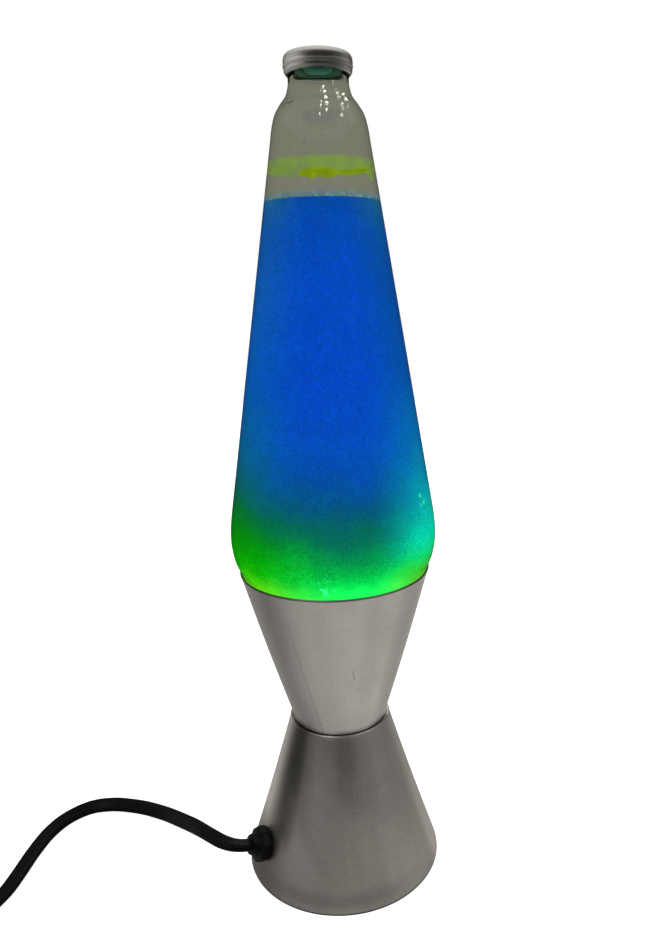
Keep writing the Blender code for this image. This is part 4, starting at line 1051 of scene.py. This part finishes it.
def smear(name, shape):  # a patch of film on the inside of the glass with ragged edges
    bm = bmesh.new()
    steps, rows = shape["steps"], 6
    outer, inner = [], []
    start, end = math.radians(shape["start"]), math.radians(shape["end"])
    whole = shape["end"] - shape["start"] >= 360
    count = steps if whole else steps + 1
    for i in range(count):
        share = i / steps
        angle = start + (end - start) * share
        spot = Vector((math.cos(angle), math.sin(angle), 0))
        rag = noise.noise(spot * shape["ragScale"] + Vector((shape["seed"], 0, 0)))
        rag2 = noise.noise(spot * shape["ragScale"] * 2.7 + Vector((0, shape["seed"], 3)))
        low = shape["low"] + shape["rag"] * (0.7 * rag + 0.3 * rag2)
        low += shape.get("farLift", 0.0) * (1 + spot.y) / 2
        high = shape["high"] + 0.5 * shape["rag"] * (0.6 * rag2 - 0.4 * rag)
        if not whole:  # it thins out to both ends
            taper = min(1.0, 4 * share, 4 * (1 - share)) ** 0.6
            middle = (low + high) / 2 + shape.get("lean", 0.0) * (share - 0.5)
            half = max((high - low) / 2 * taper, 0.12)
            low, high = middle - half, middle + half
        columnOut, columnIn = [], []
        for k in range(rows + 1):
            z = low + (high - low) * k / rows
            thick = shape["thick"] * (0.25 + 0.75 * math.sin(math.pi * k / rows))
            r = radiusAt(z, globeShape["wall"] + 0.02)
            columnOut.append(bm.verts.new((r * mm * math.cos(angle), r * mm * math.sin(angle), z * mm)))
            r -= thick
            columnIn.append(bm.verts.new((r * mm * math.cos(angle), r * mm * math.sin(angle), z * mm)))
        outer.append(columnOut)
        inner.append(columnIn)
    last = count if whole else count - 1
    for i in range(last):
        j = (i + 1) % count
        for k in range(rows):
            bm.faces.new((outer[i][k], outer[j][k], outer[j][k + 1], outer[i][k + 1]))
            bm.faces.new((inner[i][k], inner[i][k + 1], inner[j][k + 1], inner[j][k]))
        bm.faces.new((outer[i][0], inner[i][0], inner[j][0], outer[j][0]))
        bm.faces.new((outer[i][rows], outer[j][rows], inner[j][rows], inner[i][rows]))
    if not whole:
        for i in (0, count - 1):
            for k in range(rows):
                bm.faces.new((outer[i][k], outer[i][k + 1], inner[i][k + 1], inner[i][k]))
    return finishMesh(bm, name, finishes[shape["finish"]], "globe", (), 60)


smears = {  # angles in degrees from +X, heights in mm
    "waxRing": {
        "finish": "paleWaxFilm", "slot": "green_wax", "start": 0, "end": 360, "low": 305.4, "high": 311.8,
        "rag": 1.2, "farLift": 3.2, "ragScale": 2.6, "seed": 4.1, "thick": 0.25, "steps": 180,
    },
    "waxPatch": {
        "finish": "thickWaxFilm", "slot": "green_wax", "start": -110, "end": -66, "low": 303.2,
        "high": 306.7,
        "rag": 1.5, "ragScale": 7.0, "seed": 8.3, "thick": 0.5, "steps": 64,
    },
    "waxTrail": {
        "finish": "thickWaxFilm", "slot": "green_wax", "start": -72, "end": -24, "low": 304.9, "high": 306.7,
        "rag": 1.2, "ragScale": 8.0, "seed": 2.9, "thick": 0.4, "steps": 48, "lean": 2.6,
    },
    "waxDrip": {
        "finish": "paleWaxFilm", "slot": "green_wax", "start": -27, "end": -14, "low": 303.2, "high": 307.4,
        "rag": 0.5, "ragScale": 9.0, "seed": 1.7, "thick": 0.5, "steps": 20,
    },
    "foamRing": {
        "finish": "waterFoam", "slot": "clear_glass", "start": 0, "end": 360, "low": 296.2, "high": 299.5,
        "rag": 0.6, "ragScale": 9.0, "seed": 6.6, "thick": 0.5, "steps": 220,
    },
}


neckShape = {
    "stopper": [
        (6.4, 345.4), (9.2, 343.6), (9.5, 344.2), (9.5, 347.7), (12.2, 347.7), (12.2, 348.9), (0, 348.9),
        (0, 347.0), (6.4, 347.0),
    ],
    "lens": [
        (0, 343.4), (2.5, 343.55), (4.4, 343.95), (5.7, 344.6), (6.3, 345.4), (6.3, 346.9), (0, 346.9),
    ],
    "cap": [  # up the inside, down under the curled edge and up the outside over its bead
        (0, 349.3), (12.2, 349.3), (12.7, 348.4), (12.75, 346.2), (12.7, 344.6), (12.3, 343.3),
        (12.05, 342.7), (12.25, 342.45), (12.75, 342.9), (13.15, 343.7), (13.2, 344.3), (13.05, 344.75),
        (13.35, 345.1), (13.5, 345.5), (13.35, 345.95), (13.4, 347.2), (13.2, 348.4), (12.9, 349.1),
        (12.2, 349.75), (11.3, 350.0), (10.4, 349.75), (0, 349.7),
    ],
}


def makeNeck(shape):
    turned(
        "neckStopper", softened(shape["stopper"], 0.25), finishes["stopperSkirtPaintedLight"], "globe", ["stopper"],
        96,
    )
    turned("stopperLens", shape["lens"], finishes["stopperFacePaintedLight"], "globe", (), 96)
    turned(
        "closureCap", softened(shape["cap"], 0.25, closed=False), capMetal, "globe", ["closure_cap"],
        160, sharp=70,
    )


wireShape = {"turns": 46, "ringRadius": 22.0, "coilRadius": 2.2, "wireRadius": 0.38, "height": 129.9}


def makeWire(shape):  # a long spring bent round into a ring
    turns, sides, coil = shape["turns"], 8, shape["coilRadius"]
    bm = bmesh.new()
    steps = turns * 14
    loops = []
    for i in range(steps):
        around = 2 * math.pi * i / steps
        twist = 2 * math.pi * turns * i / steps
        out = Vector((math.cos(around), math.sin(around), 0))
        centre = out * (shape["ringRadius"] + coil * math.cos(twist))
        centre += Vector((0, 0, shape["height"] + coil * math.sin(twist)))
        normal = out * math.cos(twist) + Vector((0, 0, math.sin(twist)))
        along = Vector((-math.sin(around), math.cos(around), 0))
        loop = []
        for k in range(sides):
            a = 2 * math.pi * k / sides
            off = shape["wireRadius"] * (normal * math.cos(a) + along * math.sin(a))
            loop.append(bm.verts.new((centre + off) * mm))
        loops.append(loop)
    for low, high in zip(loops, [*loops[1:], loops[0]]):
        for k in range(sides):
            j = (k + 1) % sides
            bm.faces.new((low[k], low[j], high[j], high[k]))
    finishMesh(bm, "wireCoil", finishes["zincSteel"], "globe", ["wire_coil"])


makeGlass(globeShape)
makeLiquid(globeShape)
for smearName, smearShape in smears.items():
    smear(smearName, smearShape)
makeNeck(neckShape)
makeWire(wireShape)
print("stage: globe")


# cord: gland, run on the table, switch, coil and plug

cordShape = {
    "wide": 6.7, "thick": 3.5, "groove": 0.22, "corner": 3.0,
    "run": [
        (-41.5, -24.0, 19.6), (-44.2, -25.5, 20.5), (-48.4, -26.4, 21.7), (-53.4, -24.8, 22.2),
        (-58.6, -20.6, 21.6), (-64.4, -14.6, 19.8), (-71.0, -7.2, 17.0), (-79.2, 1.2, 13.6),
        (-88.2, 9.8, 10.2), (-98.6, 17.8, 7.1), (-110.0, 24.4, 4.9), (-122.0, 27.8, 3.7),
        (-133.6, 26.2, 3.5), (-142.6, 18.6, 3.5), (-147.6, 7.4, 3.5), (-149.6, -6.0, 3.5),
        (-150.2, -19.0, 3.5),
        (-151.4, -31.5, 3.5), (-155.8, -42.8, 3.5), (-164.4, -51.2, 3.5), (-176.4, -55.2, 3.5),
        (-194.0, -55.8, 3.5), (-214.0, -55.7, 3.5), (-234.0, -55.6, 3.5), (-254.0, -55.6, 3.5),
        (-269.0, -55.4, 3.5), (-281.5, -52.0, 3.7), (-291.4, -44.0, 5.0), (-296.2, -37.0, 6.6),
        (-297.0, -32.2, 7.2), (-297.0, -30.6, 7.2),
    ],
    "link": [
        (-297.0, -15.0, 7.2), (-297.0, 0.0, 7.2), (-297.0, 14.6, 7.2), (-296.2, 21.5, 6.9),
        (-292.8, 29.0, 6.2), (-286.0, 36.2, 5.4), (-276.4, 40.6, 4.9), (-265.0, 41.4, 4.7),
        (-255.0, 41.0, 4.7), (-247.2, 40.0, 4.7), (-238.0, 38.6, 4.7),
    ],
    "coilCentre": (-226.0, -4.0),
    "tieAngle": 40,
    "turns": [(41.5, 4.7), (34.5, 4.7), (34.5, 11.7), (41.5, 11.7), (41.5, 18.7)],  # radius and height
    "lastTurn": (34.5, 18.7),
    "tail": [
        (-207.5, -37.0, 25.9), (-218.5, -41.2, 25.9), (-230.0, -42.2, 26.0), (-241.5, -40.2, 26.4),
        (-251.6, -34.4, 27.6), (-258.8, -26.4, 29.2), (-262.4, -20.2, 30.1), (-263.0, -17.2, 30.2),
        (-263.0, -15.0, 30.2),
    ],
    "leans": [  # distance along in mm and the tilt of the flat side in degrees
        (0, 0), (22, 4), (46, 30), (72, 52), (100, 46), (130, 26), (160, 10), (200, 4), (420, 0), (470, 0),
        (530, 90),
    ],
}


def smoothShare(value, low, high):
    t = min(max((value - low) / (high - low), 0.0), 1.0)
    return t * t * (3 - 2 * t)


def coilPoints(shape):
    cx, cy = shape["coilCentre"]
    turns = shape["turns"]
    points = []
    for k, (radius, height) in enumerate(turns):
        after = turns[k + 1] if k + 1 < len(turns) else shape["lastTurn"]
        for i in range(24):
            share = i / 24
            angle = 90 - 360 * share
            step = smoothShare(share, 0.90, 1.0)
            r = radius + (after[0] - radius) * step + 0.35 * math.sin(3.1 * i + 2.0 * k) * (share < 0.9)
            z = height + (after[1] - height) * step
            points.append((r, z, angle))
    radius, height = shape["lastTurn"]
    for i in range(10):  # the last part turn, then up on to the top
        angle = 90 - 133 * i / 9
        up = smoothShare(i / 9, 0.60, 1.0)
        points.append((radius + 3.8 * up, height + 7.2 * up, angle))
    made = []
    for r, z, angle in points:
        fromTie = abs((angle - shape["tieAngle"] + 180) % 360 - 180)
        sag = 1.1 * smoothShare(fromTie, 22, 60)
        a = math.radians(angle)
        made.append((cx + r * math.cos(a), cy + r * math.sin(a), z - sag))
    return made


def cordPath(shape):  # even points along the whole lead, and how far each is along it
    coil = coilPoints(shape)
    knots = [*shape["run"], *shape["link"], *coil, *shape["tail"]]
    dense = curved(knots, 12)
    walked = [0.0]
    for a, b in zip(dense, dense[1:]):
        walked.append(walked[-1] + (b - a).length)
    steps = round(walked[-1] / 1.6)
    points, distances, k = [], [], 0
    for i in range(steps + 1):
        goal = walked[-1] * i / steps
        while k < len(walked) - 2 and walked[k + 1] < goal:
            k += 1
        share = (goal - walked[k]) / max(walked[k + 1] - walked[k], 1e-9)
        points.append(dense[k].lerp(dense[k + 1], min(share, 1.0)))
        distances.append(goal)
    return points, distances


def leanAt(shape, distance, total):
    leans = shape["leans"]
    if distance > leans[-1][0]:
        wobble = 7 * math.sin(distance / 47) + 5 * math.sin(distance / 19 + 1.0)
        return (leans[-1][1] + wobble) * (1 - smoothShare(distance, total - 190, total - 100))
    for (d0, a0), (d1, a1) in zip(leans, leans[1:]):
        if d0 <= distance <= d1:
            return a0 + (a1 - a0) * smoothShare(distance, d0, d1)
    return leans[0][1]


def cordSection(shape, count=36):
    points = []
    for i in range(count):
        angle = 2 * math.pi * i / count
        c, s = math.cos(angle), math.sin(angle)
        across = math.copysign(abs(c) ** (2 / shape["corner"]), c)
        over = math.copysign(abs(s) ** (2 / shape["corner"]), s)
        dip = shape["groove"] * math.exp(-((across * 6) ** 2)) * math.copysign(1.0, s)
        points.append((across * shape["wide"] / 2, over * shape["thick"] / 2 - dip * (abs(s) > 0.5)))
    return points


def makeCord(shape):
    points, distances = cordPath(shape)
    total = distances[-1]
    section = cordSection(shape)
    bm = bmesh.new()
    loops, centres = [], []
    for i, (point, distance) in enumerate(zip(points, distances)):
        along = (points[min(i + 1, len(points) - 1)] - points[max(i - 1, 0)]).normalized()
        side = along.cross(Vector((0, 0, 1))).normalized()
        over = side.cross(along)
        lean = math.radians(leanAt(shape, distance, total))
        wideWay = math.cos(lean) * side + math.sin(lean) * over
        thickWay = math.cos(lean) * over - math.sin(lean) * side
        half = math.hypot(shape["wide"] / 2 * math.sin(lean), shape["thick"] / 2 * math.cos(lean))
        drop = (3.3 - half) * smoothShare(-point.z, -7.0, -4.2)  # flat on the table where it lies
        sinks = smoothShare(distance, total - 150, total - 110)
        drop += 2.4 * sinks * (1 - smoothShare(distance, total - 60, total - 25))
        centre = point - Vector((0, 0, drop))
        loop = []
        for across, thick in section:
            loop.append(bm.verts.new((centre + wideWay * across + thickWay * thick) * mm))
        loops.append(loop)
        centres.append(tuple(centre * mm))
    for low, high in zip(loops, loops[1:]):
        for k in range(len(section)):
            j = (k + 1) % len(section)
            bm.faces.new((low[k], low[j], high[j], high[k]))
    bm.faces.new(loops[0])
    bm.faces.new(loops[-1])
    cord = finishMesh(
        bm, "powerCord", finishes["cordVinyl"], "root", ["cord_run", "cord_link", "cord_tail", "cord_coil"],
    )
    print("stage: cord,", round(total * mm, 3), "m along its centre")
    return cord, centres, total * mm


def superRing(y, wide, high, power, count=40):
    points = []
    for i in range(count):
        angle = 2 * math.pi * i / count
        c, s = math.cos(angle), math.sin(angle)
        x = math.copysign(abs(c) ** (2 / power), c) * wide / 2
        z = math.copysign(abs(s) ** (2 / power), s) * high / 2
        points.append((x * mm, y * mm, z * mm))
    return points


plugShape = {
    "x": -263.0, "z": 30.2, "bootStart": -15.5, "bootEnd": -1.5, "ribs": 5, "bodyStart": -1.2,
    "body": [  # from the back to the face: distance, width, height and how square
        (0, 11.6, 9.8, 2.6), (0.5, 12.4, 10.6, 2.6), (2.5, 13.6, 11.6, 2.7), (5, 15.6, 12.6, 2.8),
        (8, 17.0, 12.4, 2.9), (11, 17.6, 11.8, 3.2), (13.5, 18.4, 12.0, 3.5), (16, 20.2, 13.4, 3.8),
        (18, 21.4, 14.4, 4.0), (20, 21.9, 14.9, 4.2), (25.8, 22.0, 15.0, 4.4), (26.6, 21.5, 14.5, 4.4),
        (27.0, 20.4, 13.4, 4.4),
    ],
}


def makePlug(shape):
    spot = Matrix.Translation((shape["x"] * mm, 0, shape["z"] * mm))
    start, end = shape["bootStart"], shape["bootEnd"]
    steps = [(start, 7.4, 7.0), (start + 0.4, 8.0, 7.6)]
    for i in range(shape["ribs"]):  # ribs of the strain relief
        y = start + 1.2 + 2.5 * i
        wide, high = 8.2 + 0.5 * i, 7.7 + 0.36 * i
        steps += [
            (y, wide, high), (y + 0.3, wide - 1.3, high - 1.3), (y + 1.0, wide - 1.3, high - 1.3),
            (y + 1.3, wide + 0.3, high + 0.2),
        ]
    steps += [(end - 0.3, 11.0, 9.6), (end, 10.6, 9.2)]
    boot = [superRing(*step, 2.6) for step in steps]
    loft("plugBoot", boot, finishes["plugVinyl"], "root", ["plug_boot"], 35, spot)
    body = [superRing(shape["bodyStart"] + y, *size) for y, *size in shape["body"]]
    made = loft("plugBody", body, finishes["plugVinyl"], "root", ["plug_body"], 40, spot)
    smooth = made.modifiers.new("smooth", "SUBSURF")
    smooth.levels = 1
    smooth.render_levels = 1


makePlug(plugShape)
cord, cordCentres, cordLong = makeCord(cordShape)


# the CAD nodes that stay: finer edges and their own finishes

keptNodes = {  # finish, material slot and edge round in mm
    "base_nut": ("zincSteel", "steel", 0.3), "lock_nut": ("zincSteel", "steel", 0.3),
    "gland_nut": ("glandPlastic", "black_plastic", 0.3), "centre_contact": ("wornBrass", "brass", 0.1),
    "terminal_screw_1": ("wornBrass", "brass", 0.15), "terminal_screw_2": ("wornBrass", "brass", 0.15),
    "lead_live": ("blackLead", "lead_black", 0.0), "lead_neutral": ("whiteLead", "lead_white", 0.0),
    "bulb_filament": ("zincSteel", "steel", 0.0), "coil_tie": ("glandPlastic", "black_plastic", 0.25),
    "switch_base": ("switchPlastic", "switch_black", 0.7),
    "switch_cover": ("switchPlastic", "switch_black", 0.9),
    "switch_rocker": ("rockerPlastic", "rocker_black", 0.5), "switch_pin": ("zincSteel", "steel", 0.15),
    "switch_screw_1": ("zincSteel", "steel", 0.2), "switch_screw_2": ("zincSteel", "steel", 0.2),
    "plug_blade_1": ("wornBrass", "brass", 0.2), "plug_blade_2": ("wornBrass", "brass", 0.2),
}
for nodeName, (finish, slotName, edge) in keptNodes.items():
    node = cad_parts[nodeName]
    node.data.materials.clear()
    node.data.materials.append(finishes[finish])
    if edge:
        bevelled(node, edge)
print("stage: kept nodes finished")

allPieces = {obj.name: obj for obj in bpy.context.scene.objects if obj.type == "MESH"}
lightsOnly(bigLights, "allButPolished", [allPieces["globeGlass"], allPieces["closureCap"]], "EXCLUDE")
lightsOnly(smallLights, "polishedPieces", [allPieces["globeGlass"]], "INCLUDE")
